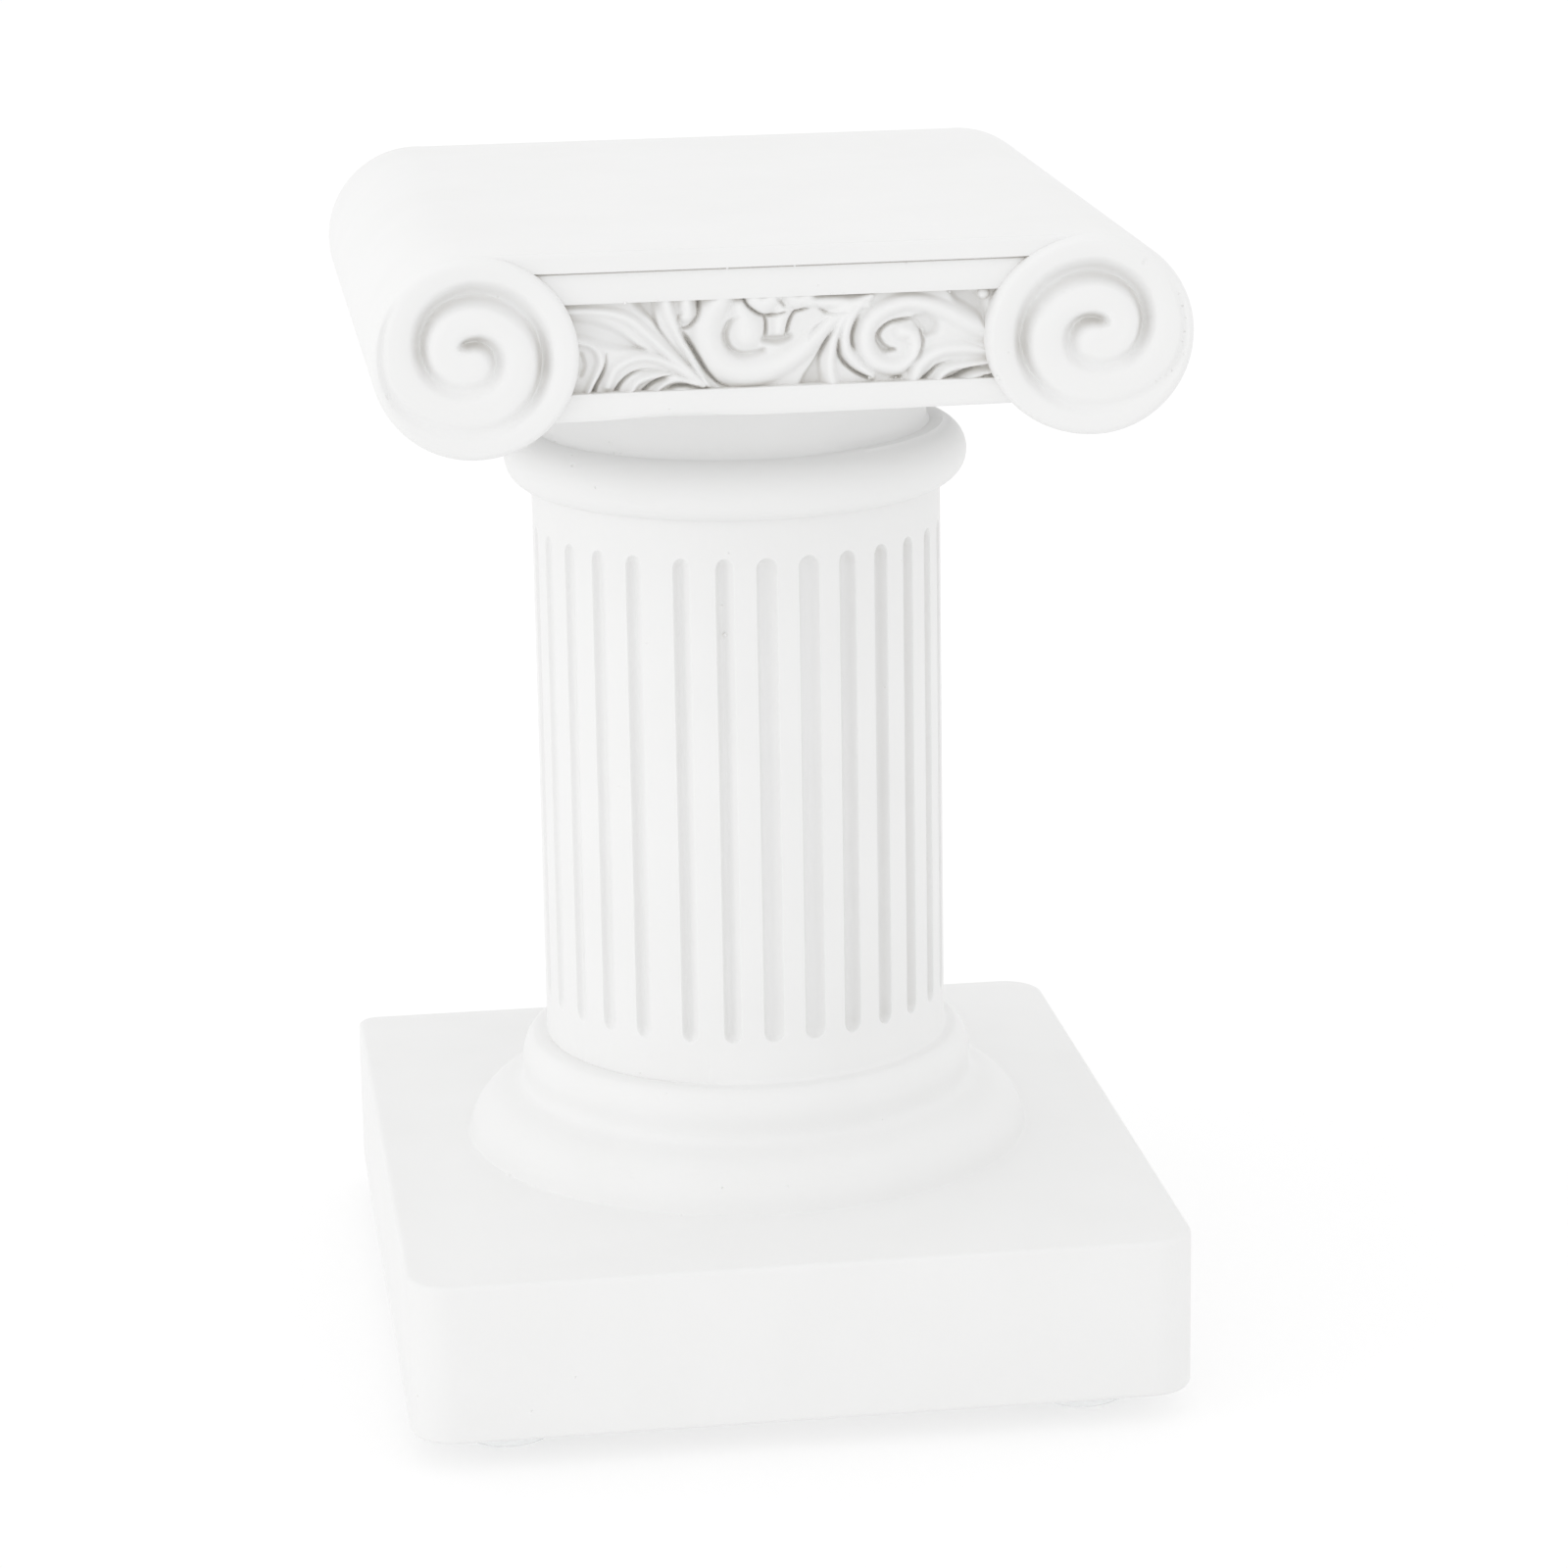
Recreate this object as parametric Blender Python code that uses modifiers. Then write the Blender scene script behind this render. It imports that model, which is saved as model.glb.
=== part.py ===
"""A small cast column ornament on four clear stick-on pads.

One casting holds the square plinth, the round base mouldings, the fluted shaft, the neck ring and the Ionic
capital with its four volutes and its scroll frieze. Lengths are in metres, +Z is up, and the origin is on the
surface that the pads stand on, below the middle of the plinth.
"""
import math

import bmesh
import bpy
import numpy as np
from mathutils import Matrix

MM = 0.001

# Space left between pieces that touch, how far shapes that grow together reach into each other, how far a
# cutter passes the face that it cuts, and the distance under which points are one point
FIT_GAP = 0.3 * MM
BURY = 2.0 * MM
CUTTER_PASS = 0.3 * MM
WELD = 0.001 * MM

# Faces that turn less than the first angle are one flat face, edges that turn more than the second are sharp
FLAT_ANGLE = math.radians(0.5)
SHARP_ANGLE = math.radians(35)

# Pads
PAD_DIAMETER = 10.0 * MM
PAD_HEIGHT = 2.7 * MM
PAD_ROUNDING = 0.7 * MM
PAD_INSET = 10.2 * MM
PAD_STEPS = 16
PAD_ROUNDING_STEPS = 2

# Plinth
PLINTH_WIDTH = 80.0 * MM
PLINTH_DEPTH = 89.0 * MM
PLINTH_HEIGHT = 16.8 * MM
PLINTH_CORNER_RADIUS = 4.5 * MM
PLINTH_CORNER_STEPS = 5
PLINTH_EDGE_RADIUS = 0.8 * MM
PLINTH_EDGE_STEPS = 2

# Round base: a quarter-round foot, whose edge rounds over inwards and upwards, below a torus that is a little
# taller than it is thick
BASE_HEIGHT = 11.4 * MM
FOOT_RADIUS = 30.0 * MM
FOOT_ROUND_WIDTH = 6.2 * MM
FOOT_ROUND_HEIGHT = 5.6 * MM
FOOT_STEPS = 5
TORUS_RADIUS = 24.25 * MM
TORUS_THICKNESS = 2.3 * MM
TORUS_HALF_HEIGHT = 2.9 * MM
TORUS_UNDERCUT = math.radians(50)
TORUS_STEPS = 5

# Shaft and its flutes, with one wider space between flutes at the mould seam
SHAFT_RADIUS = 21.35 * MM
SHAFT_HEIGHT = 59.8 * MM
SHAFT_STEPS = 54
FLUTE_COUNT = 30
FLUTE_WIDTH = 2.15 * MM
FLUTE_DEPTH = 0.9 * MM
FLUTE_SIDES = 6
FLUTE_RINGS = 5
FLUTE_TOP_MARGIN = 4.0 * MM
FLUTE_BOTTOM_MARGIN = 4.5 * MM
FLUTE_SEAM_ANGLE = math.radians(-30.1)
FLUTE_SEAM_PITCH = math.radians(14.15)

# Neck ring and neck
RING_RADIUS = 24.2 * MM
RING_TUBE = 3.05 * MM
RING_STEPS = 5
NECK_RADIUS = 20.5 * MM
NECK_HEIGHT = 8.05 * MM

# Capital
CAPITAL_LENGTH = 80.0 * MM
CAPITAL_DEPTH = 78.0 * MM
CAPITAL_HEIGHT = 16.45 * MM
SLAB_EDGE = 1.9 * MM
SLAB_ROUNDING = 0.35 * MM
CREASE_WIDTH = 0.3 * MM
CREASE_DEPTH = 0.8 * MM
BAND_HEIGHT = 2.9 * MM
BAND_SETBACK = 0.35 * MM
BAND_ROLL = 0.25 * MM
BAND_STEPS = 3
FILLET_HEIGHT = 2.75 * MM
FILLET_SETBACK = 0.2 * MM
FRIEZE_DEPTH = 1.5 * MM

# Volutes: the discs at the ends of the rolls, with a rounded rim
VOLUTE_RADIUS = 9.85 * MM
VOLUTE_PROUD = 1.0 * MM
VOLUTE_LEDGE = 0.15 * MM
RIM_WIDTH = 1.9 * MM
RIM_STEP = 0.1 * MM
RIM_STEPS = 3
ROLL_STEPS = 32

# Spiral groove of a volute: it opens between two turned angles, fades after a third and ends thinner
GROOVE_WIDTH = 2.0 * MM
GROOVE_LIFT = 0.2 * MM
GROOVE_INNER_RADIUS = 1.8 * MM
GROOVE_OUTER_RADIUS = 6.6 * MM
GROOVE_START = math.radians(131)
GROOVE_TURNING = math.radians(580)
GROOVE_OPENS = (math.radians(110), math.radians(420))
GROOVE_FADES = math.radians(470)
GROOVE_END_SHARE = 0.35
GROOVE_STEPS = 22

# Frieze carving: its height, how round its stems are, the cell of the fine grid that it is worked out on, and
# the triangles kept of that grid
CARVING_HEIGHT = 1.05 * MM
CARVING_ROUNDNESS = 0.6
CARVING_CELL = 0.28 * MM
CARVING_MARGIN = 0.5 * MM
FRONT_TRIANGLES = 1650
BACK_TRIANGLES = 420

# Levels, from the ground up
PLINTH_BOTTOM = PAD_HEIGHT + FIT_GAP
PLINTH_TOP = PLINTH_BOTTOM + PLINTH_HEIGHT
SHAFT_BOTTOM = PLINTH_TOP + BASE_HEIGHT
SHAFT_TOP = SHAFT_BOTTOM + SHAFT_HEIGHT
RING_CENTRE = SHAFT_TOP + RING_TUBE
CAPITAL_BOTTOM = RING_CENTRE + RING_TUBE + NECK_HEIGHT
CAPITAL_TOP = CAPITAL_BOTTOM + CAPITAL_HEIGHT
CAPITAL_FACE = CAPITAL_DEPTH / 2
ROLL_AXIS_X = CAPITAL_LENGTH / 2 - VOLUTE_RADIUS
ROLL_AXIS_Z = CAPITAL_TOP - VOLUTE_RADIUS
FRIEZE_BOTTOM = CAPITAL_BOTTOM + FILLET_HEIGHT
FRIEZE_TOP = CAPITAL_TOP - SLAB_EDGE - BAND_HEIGHT
FRIEZE_HEIGHT = FRIEZE_TOP - FRIEZE_BOTTOM
FRIEZE_HALF = ROLL_AXIS_X - VOLUTE_RADIUS + 2 * VOLUTE_PROUD


def clear_scene():
    """Remove every object of the opened file."""
    for thing in list(bpy.data.objects):
        bpy.data.objects.remove(thing, do_unlink=True)


def new_collection(name):
    """Make a collection in the scene."""
    collection = bpy.data.collections.new(name)
    bpy.context.scene.collection.children.link(collection)
    return collection


def new_material(name, colour, roughness, transmission=0.0):
    """Make a Principled material."""
    material = bpy.data.materials.new(name)
    material.use_nodes = True
    shader = material.node_tree.nodes["Principled BSDF"]
    shader.inputs["Base Color"].default_value = (*colour, 1.0)
    shader.inputs["Roughness"].default_value = roughness
    shader.inputs["Metallic"].default_value = 0.0
    shader.inputs["Transmission Weight"].default_value = transmission
    return material


def add_object(name, mesh, collection):
    """Put a mesh in the scene as a named object."""
    thing = bpy.data.objects.new(name, mesh)
    collection.objects.link(thing)
    return thing


def add_cutter(name, mesh, collection):
    """Put a mesh in the scene as a cutter, drawn as wire and never rendered."""
    thing = add_object(name, mesh, collection)
    thing.display_type = "WIRE"
    thing.hide_render = True
    return thing


def finished_mesh(name, bm):
    """Turn a bmesh into a mesh with its normals outwards, shaded smooth between its sharp edges."""
    bmesh.ops.recalc_face_normals(bm, faces=bm.faces)
    mesh = bpy.data.meshes.new(name)
    bm.to_mesh(mesh)
    bm.free()
    mesh.shade_smooth()
    mesh.set_sharp_from_angle(angle=SHARP_ANGLE)
    return mesh


def evaluated_mesh(thing, flat_faces=False):
    """Replace an object by a welded mesh in world space, with its modifiers or its curve's bevel applied."""
    graph = bpy.context.evaluated_depsgraph_get()
    raw = bpy.data.meshes.new_from_object(thing.evaluated_get(graph))
    raw.transform(thing.matrix_world)
    bm = bmesh.new()
    bm.from_mesh(raw)
    name = thing.name
    bpy.data.meshes.remove(raw)
    bpy.data.objects.remove(thing, do_unlink=True)
    bmesh.ops.remove_doubles(bm, verts=bm.verts, dist=WELD)
    if flat_faces:
        bmesh.ops.dissolve_limit(bm, angle_limit=FLAT_ANGLE, verts=bm.verts, edges=bm.edges)
    return finished_mesh(name, bm)


def combine(body, tool, operation):
    """Add a Boolean modifier that joins a tool to a body, or cuts it away."""
    modifier = body.modifiers.new(tool.name, "BOOLEAN")
    modifier.operation = operation
    modifier.solver = "EXACT"
    modifier.object = tool


def arc(centre, radius, start, end, steps):
    """Points of a circular arc from a start angle to an end angle."""
    angles = np.linspace(start, end, steps + 1)
    return [(centre[0] + radius * math.cos(a), centre[1] + radius * math.sin(a)) for a in angles]


def oval(centre, across, up, start, end, steps):
    """Points of an elliptical arc from a start angle to an end angle."""
    angles = np.linspace(start, end, steps + 1)
    return [(centre[0] + across * math.cos(a), centre[1] + up * math.sin(a)) for a in angles]


def smooth(share):
    """Ease from 0 to 1 as the share goes from 0 to 1."""
    share = min(max(share, 0.0), 1.0)
    return share * share * (3 - 2 * share)


def turned_mesh(name, profile, steps, matrix=None):
    """Turn a profile of (radius, height) points, listed top to bottom, round the Z axis."""
    mesh = bpy.data.meshes.new(name)
    mesh.from_pydata([(r, 0, z) for r, z in profile], [(i, i + 1) for i in range(len(profile) - 1)], [])
    thing = add_object(name, mesh, bpy.context.scene.collection)
    screw = thing.modifiers.new("Turn", "SCREW")
    screw.steps = steps
    screw.render_steps = steps
    screw.use_merge_vertices = True
    screw.merge_threshold = WELD
    thing.matrix_world = matrix or Matrix.Identity(4)
    bpy.context.view_layer.update()
    return evaluated_mesh(thing)


def extruded_mesh(name, outline, half_depth, matrix):
    """Extrude a closed flat outline of (x, y) points to both sides of its plane, then place it."""
    curve = bpy.data.curves.new(name, "CURVE")
    curve.dimensions = "2D"
    curve.fill_mode = "BOTH"
    curve.extrude = half_depth
    spline = curve.splines.new("POLY")
    spline.points.add(len(outline) - 1)
    for point, (x, y) in zip(spline.points, outline):
        point.co = (x, y, 0, 1)
    spline.use_cyclic_u = True
    thing = add_object(name, curve, bpy.context.scene.collection)
    thing.matrix_world = matrix
    bpy.context.view_layer.update()
    return evaluated_mesh(thing, flat_faces=True)


def bevel(bm, edges, radius, steps):
    """Round some edges of a bmesh."""
    bmesh.ops.bevel(bm, geom=edges, offset=radius, segments=steps, profile=0.5, affect="EDGES")


def plinth_mesh():
    """The plinth: a box with round upright corners and softened top and bottom edges."""
    bm = bmesh.new()
    bmesh.ops.create_cube(bm, size=1.0)
    bmesh.ops.scale(bm, vec=(PLINTH_WIDTH, PLINTH_DEPTH, PLINTH_HEIGHT), verts=bm.verts)
    bmesh.ops.translate(bm, vec=(0, 0, PLINTH_BOTTOM + PLINTH_HEIGHT / 2), verts=bm.verts)
    upright = [e for e in bm.edges if abs(e.verts[0].co.z - e.verts[1].co.z) > PLINTH_HEIGHT / 2]
    bevel(bm, upright, PLINTH_CORNER_RADIUS, PLINTH_CORNER_STEPS)
    level = [e for e in bm.edges if abs(e.verts[0].co.z - e.verts[1].co.z) < PLINTH_HEIGHT / 2]
    bevel(bm, level, PLINTH_EDGE_RADIUS, PLINTH_EDGE_STEPS)
    return finished_mesh("plinth", bm)


def column_mesh():
    """The base mouldings, the shaft, the neck ring and the neck, turned as one profile."""
    ring_middle = RING_RADIUS - RING_TUBE
    ring_start = math.acos((NECK_RADIUS - ring_middle) / RING_TUBE)
    ring_end = -math.acos((SHAFT_RADIUS - ring_middle) / RING_TUBE)
    torus_middle = TORUS_RADIUS - TORUS_THICKNESS
    torus_start = math.acos((SHAFT_RADIUS - torus_middle) / TORUS_THICKNESS)
    torus_z = SHAFT_BOTTOM - TORUS_HALF_HEIGHT * math.sin(torus_start)
    torus_centre = (torus_middle, torus_z)
    foot_centre = (FOOT_RADIUS - FOOT_ROUND_WIDTH, PLINTH_TOP)
    profile = [(0, CAPITAL_BOTTOM + BURY), (NECK_RADIUS, CAPITAL_BOTTOM + BURY)]
    profile += arc((ring_middle, RING_CENTRE), RING_TUBE, ring_start, ring_end, RING_STEPS)
    profile += oval(torus_centre, TORUS_THICKNESS, TORUS_HALF_HEIGHT, torus_start, -TORUS_UNDERCUT, TORUS_STEPS)
    profile += oval(foot_centre, FOOT_ROUND_WIDTH, FOOT_ROUND_HEIGHT, math.pi / 2, 0, FOOT_STEPS)
    profile += [(FOOT_RADIUS, PLINTH_TOP - BURY), (0, PLINTH_TOP - BURY)]
    return turned_mesh("column", profile, SHAFT_STEPS)


def flute_mesh():
    """All flutes as round-ended rods that stand round the shaft."""
    rod = (FLUTE_WIDTH**2 / 4 + FLUTE_DEPTH**2) / (2 * FLUTE_DEPTH)
    distance = SHAFT_RADIUS + rod - FLUTE_DEPTH
    low = SHAFT_BOTTOM + FLUTE_BOTTOM_MARGIN + rod
    high = SHAFT_TOP - FLUTE_TOP_MARGIN - rod
    pitch = (2 * math.pi - FLUTE_SEAM_PITCH) / (FLUTE_COUNT - 1)
    bm = bmesh.new()
    for index in range(FLUTE_COUNT):
        angle = FLUTE_SEAM_ANGLE + FLUTE_SEAM_PITCH / 2 + index * pitch
        made = bmesh.ops.create_uvsphere(bm, u_segments=FLUTE_SIDES, v_segments=FLUTE_RINGS, radius=1.0)
        ball = made["verts"]
        waist_z = min(abs(v.co.z) for v in ball)
        waist = math.sqrt(1 - waist_z**2)
        for vert in ball:
            rise = rod * (abs(vert.co.z) - waist_z) / (1 - waist_z)
            z = high + rise if vert.co.z > 0 else low - rise
            vert.co = (vert.co.x * rod / waist, vert.co.y * rod / waist, z)
        bmesh.ops.translate(bm, vec=(0, -distance, 0), verts=ball)
        bmesh.ops.rotate(bm, cent=(0, 0, 0), matrix=Matrix.Rotation(angle, 3, "Z"), verts=ball)
    return finished_mesh("flutes", bm)


def capital_mesh():
    """The slab and its two rolls as one front outline, extruded from front to back."""
    step = 2 * math.pi / ROLL_STEPS
    top = math.pi / 2
    inner = math.asin((ROLL_AXIS_Z - CAPITAL_BOTTOM) / VOLUTE_RADIUS)
    steps = round((3 * top - inner) / step) - 1
    right = arc((ROLL_AXIS_X, ROLL_AXIS_Z), VOLUTE_RADIUS, top, top - steps * step, steps)
    right.append((ROLL_AXIS_X - VOLUTE_RADIUS * math.cos(inner), CAPITAL_BOTTOM))
    outline = right + [(-x, z) for x, z in reversed(right)]
    return extruded_mesh("capital", outline, CAPITAL_FACE, Matrix.Rotation(math.pi / 2, 4, "X"))


def moulding_cutter_mesh(side):
    """The air before the capital's slab edge, crease, band, frieze and fillet, between the volutes."""
    band = CAPITAL_FACE - BAND_SETBACK
    fillet = CAPITAL_FACE - FILLET_SETBACK
    crease_top = CAPITAL_TOP - SLAB_EDGE
    crease_floor = CAPITAL_FACE - CREASE_DEPTH
    band_top = crease_top - CREASE_WIDTH
    bed = CAPITAL_FACE - FRIEZE_DEPTH - CARVING_MARGIN
    below = CAPITAL_BOTTOM - BURY / 2
    outline = [
        (CAPITAL_FACE - SLAB_ROUNDING - BURY, CAPITAL_TOP + BURY),
        (CAPITAL_FACE + CUTTER_PASS, CAPITAL_TOP - SLAB_ROUNDING - CUTTER_PASS),
        (CAPITAL_FACE + CUTTER_PASS, crease_top),
        (crease_floor, crease_top),
        (crease_floor, band_top),
    ]
    outline += [
        (band - BAND_ROLL * share**2, band_top + share * (FRIEZE_TOP - band_top))
        for share in np.linspace(0, 1, BAND_STEPS + 1)
    ]
    outline += [
        (bed, FRIEZE_TOP),
        (bed, FRIEZE_BOTTOM),
        (fillet, FRIEZE_BOTTOM),
        (fillet, CAPITAL_BOTTOM + SLAB_ROUNDING),
        (fillet - SLAB_ROUNDING - BURY / 2, below),
        (CAPITAL_FACE + BURY, below),
        (CAPITAL_FACE + BURY, CAPITAL_TOP + BURY),
    ]
    turn = Matrix(((0, 0, 1, 0), (side, 0, 0, 0), (0, 1, 0, 0), (0, 0, 0, 1)))
    return extruded_mesh("mouldings", outline, ROLL_AXIS_X, turn)


def volute_mesh(across, side):
    """The end of a roll: a disc with a rounded rim, a little proud of the slab and grown into the roll."""
    radius = VOLUTE_RADIUS - VOLUTE_LEDGE
    front = CAPITAL_FACE + VOLUTE_PROUD
    back = CAPITAL_FACE - FRIEZE_DEPTH - BURY
    fall = VOLUTE_PROUD - RIM_STEP
    profile = [(0, front)]
    for turn in np.linspace(math.pi / 2, 0, RIM_STEPS + 1):
        profile.append((radius - RIM_WIDTH * (1 - math.cos(turn)), front - fall * (1 - math.sin(turn))))
    profile += [(radius, back), (0, back)]
    place = Matrix.Translation((across * ROLL_AXIS_X, 0, ROLL_AXIS_Z))
    return turned_mesh("volute", profile, ROLL_STEPS, place @ Matrix.Rotation(-side * math.pi / 2, 4, "X"))


def groove_radius(turned):
    """Distance of the spiral groove from the volute's eye after a turned angle."""
    opened = smooth((turned - GROOVE_OPENS[0]) / (GROOVE_OPENS[1] - GROOVE_OPENS[0]))
    return GROOVE_INNER_RADIUS + (GROOVE_OUTER_RADIUS - GROOVE_INNER_RADIUS) * opened


def groove_mesh(across, side):
    """The spiral groove of a volute, as a tube that thins out where the groove fades."""
    curve = bpy.data.curves.new("groove", "CURVE")
    curve.dimensions = "3D"
    curve.bevel_depth = GROOVE_WIDTH / 2
    curve.bevel_resolution = 1
    curve.use_fill_caps = True
    spline = curve.splines.new("POLY")
    spline.points.add(GROOVE_STEPS)
    for index, point in enumerate(spline.points):
        turned = GROOVE_TURNING * index / GROOVE_STEPS
        angle = GROOVE_START - turned
        radius = groove_radius(turned)
        fade = smooth((GROOVE_TURNING - turned) / (GROOVE_TURNING - GROOVE_FADES))
        x = across * (ROLL_AXIS_X - radius * math.cos(angle))
        z = ROLL_AXIS_Z + radius * math.sin(angle)
        point.co = (x, side * (CAPITAL_FACE + VOLUTE_PROUD + GROOVE_LIFT), z, 1)
        point.radius = GROOVE_END_SHARE + (1 - GROOVE_END_SHARE) * fade
    thing = add_object("groove", curve, bpy.context.scene.collection)
    bpy.context.view_layer.update()
    return evaluated_mesh(thing)


# The carving is drawn on a sheet of these units, which the frieze stretches to its own length and height
SHEET_HALF = 21.3
SHEET_HEIGHT = 8.7
STEM_STEPS = 16
SCROLL_STEPS = 40

# Blades of a fan: how far along and up each has risen at its shoulder, and its height, from first to last
SHOULDER_ALONG = 0.45
SHOULDER_UP = (0.75, 0.55)
BLADE_HEIGHTS = (0.95, 0.8)
BLADE_TAPER = 0.9
PETAL_LEVEL = 8.2
PETAL_TAPER = 0.8


def mix(ends, share):
    """A value between two ends."""
    return ends[0] + (ends[1] - ends[0]) * share


def bezier(a, b, c, d, widths, height=1.0):
    """A tapering stem or leaf along a cubic curve: points, half-widths and relief height."""
    t = np.linspace(0, 1, STEM_STEPS + 1)[:, None]
    a, b, c, d = (np.array(p, float) for p in (a, b, c, d))
    points = a * (1 - t) ** 3 + 3 * b * t * (1 - t) ** 2 + 3 * c * t**2 * (1 - t) + d * t**3
    return points, np.linspace(widths[0], widths[1], len(points)), height


def scroll(centre, radii, first, sweep, widths):
    """A spiral stem whose radius and half-width pass through values at equal angles."""
    share = np.linspace(0, 1, SCROLL_STEPS + 1)
    angle = np.radians(first + sweep * share)
    radius = np.interp(share, np.linspace(0, 1, len(radii)), radii)
    points = np.stack([centre[0] + radius * np.cos(angle), centre[1] + radius * np.sin(angle)], 1)
    return points, np.interp(share, np.linspace(0, 1, len(widths)), widths), 1.0


def main_scrolls():
    """The two big scrolls and the tails that join them."""
    return [
        scroll((-4.1, 5.1), (3.6, 3.45, 2.85, 1.6, 0.5), -90, -400, (1.5, 1.45, 1.15, 1.1, 1.2)),
        bezier((-4.1, 1.5), (0.0, 0.6), (2.2, 3.2), (6.3, 7.3), (1.5, 0.5)),
        bezier((21.5, 3.9), (18.5, 5.8), (15.5, 7.4), (11.6, 7.45), (1.0, 1.3)),
        scroll((11.0, 4.4), (3.1, 3.0, 2.3, 1.85, 0.9, 0.2), 80, 460, (1.3, 1.1, 1.15, 0.75, 0.7, 0.8)),
    ]


def leaf_fan(root, tips, crowns, widths):
    """Blades that rise together from one root, arch over their crowns and fall to their tips."""
    blades = []
    for index, (tip, crown) in enumerate(zip(tips, crowns)):
        share = index / (len(tips) - 1)
        up = mix(SHOULDER_UP, share)
        shoulder = (mix((root[0], crown[0]), SHOULDER_ALONG), mix((root[1], crown[1]), up))
        width = mix(widths, share)
        height = mix(BLADE_HEIGHTS, share)
        blades.append(bezier(root, shoulder, crown, tip, (width, BLADE_TAPER * width), height))
    return blades


def leaves():
    """The acanthus leaves, the petals and the drop between the scrolls."""
    fan_left = leaf_fan(
        (-7.2, 0.5),
        ((-21.5, 7.4), (-17.3, 0.1), (-15.3, -0.1), (-12.9, -0.1)),
        ((-14.2, 8.8), (-15.8, 4.7), (-14.3, 2.9), (-12.2, 1.6)),
        (0.7, 0.4),
    )
    fan_right = leaf_fan(
        (12.6, 0.2),
        ((21.5, 2.3), (21.5, 1.4), (21.5, 0.5)),
        ((16.5, 4.1), (17.3, 2.3), (18.2, 0.9)),
        (0.55, 0.35),
    )
    blades = [
        bezier((-21.5, 5.0), (-18.5, 4.8), (-16.8, 2.6), (-19.4, -0.2), (0.75, 0.6)),
        bezier((-7.2, 0.9), (-9.5, 4.0), (-12.6, 6.3), (-12.4, 8.9), (0.5, 0.5)),
        bezier((-11.5, 8.6), (-8.6, 9.2), (-8.2, 6.2), (-9.8, 6.6), (0.5, 0.8)),
        bezier((1.5, 3.6), (1.3, 5.6), (2.6, 7.0), (5.2, 7.4), (0.45, 0.3)),
        bezier((4.9, 0.2), (4.2, 3.0), (5.3, 6.2), (8.2, 8.6), (0.65, 0.45)),
        bezier((8.6, 0.9), (5.6, 2.6), (5.2, 5.6), (8.4, 8.0), (0.55, 0.45)),
        bezier((-0.3, 7.2), (-0.4, 6.6), (-0.5, 6.0), (-0.6, 5.4), (0.75, 0.45)),
    ]
    petals = []
    for x, reach, width in ((-2.9, 2.2, 0.8), (0.5, 1.8, 0.65), (2.9, 4.2, 0.5)):
        points = [(x + share * reach, PETAL_LEVEL) for share in np.linspace(0, 1, 4)]
        petals.append(bezier(*points, (width, PETAL_TAPER * width)))
    return fan_left + fan_right + blades + petals


def carving_heights(x, z, strokes):
    """Relief height at points of the frieze: the highest of all strokes, each round across its width."""
    u = x * SHEET_HALF / FRIEZE_HALF
    v = (z - FRIEZE_BOTTOM) * SHEET_HEIGHT / FRIEZE_HEIGHT
    best = np.zeros_like(u)
    for points, widths, height in strokes:
        for start, end, *ends in zip(points[:-1], points[1:], widths[:-1], widths[1:]):
            run = end - start
            share = np.clip(((u - start[0]) * run[0] + (v - start[1]) * run[1]) / (run @ run + 1e-12), 0, 1)
            away = np.hypot(u - start[0] - share * run[0], v - start[1] - share * run[1])
            across = np.clip(1 - (away / mix(ends, share)) ** 2, 0, 1)
            best = np.maximum(best, height * across**CARVING_ROUNDNESS)
    inside = np.clip(np.minimum(z - FRIEZE_BOTTOM, FRIEZE_TOP - z) / CARVING_MARGIN + 1, 0, 1)
    return CARVING_HEIGHT * best * inside


def relief_mesh(side, strokes, triangles):
    """The carving as a sheet, thinned out to a number of triangles, then thickened back into the capital."""
    low = FRIEZE_BOTTOM - CARVING_MARGIN
    high = FRIEZE_TOP + CARVING_MARGIN
    columns = round(2 * FRIEZE_HALF / CARVING_CELL)
    rows = round((high - low) / CARVING_CELL)
    bm = bmesh.new()
    bmesh.ops.create_grid(bm, x_segments=columns, y_segments=rows, size=0.5)
    flat = np.array([v.co for v in bm.verts])
    x = flat[:, 0] * 2 * FRIEZE_HALF
    z = low + (flat[:, 1] + 0.5) * (high - low)
    y = CAPITAL_FACE - FRIEZE_DEPTH + carving_heights(x, z, strokes)
    for vert, *place in zip(bm.verts, x, side * y, z):
        vert.co = place
    sheet = add_object("sheet", finished_mesh("sheet", bm), bpy.context.scene.collection)
    thin = sheet.modifiers.new("Thin", "DECIMATE")
    thin.ratio = triangles / (2 * columns * rows)
    bpy.context.view_layer.update()
    thinned = evaluated_mesh(sheet)
    bm = bmesh.new()
    bm.from_mesh(thinned)
    bpy.data.meshes.remove(thinned)
    root = side * (CAPITAL_FACE - FRIEZE_DEPTH - BURY)
    for grown in bmesh.ops.extrude_face_region(bm, geom=bm.faces[:])["geom"]:
        if isinstance(grown, bmesh.types.BMVert):
            grown.co.y = root
    return finished_mesh("relief", bm)


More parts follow.
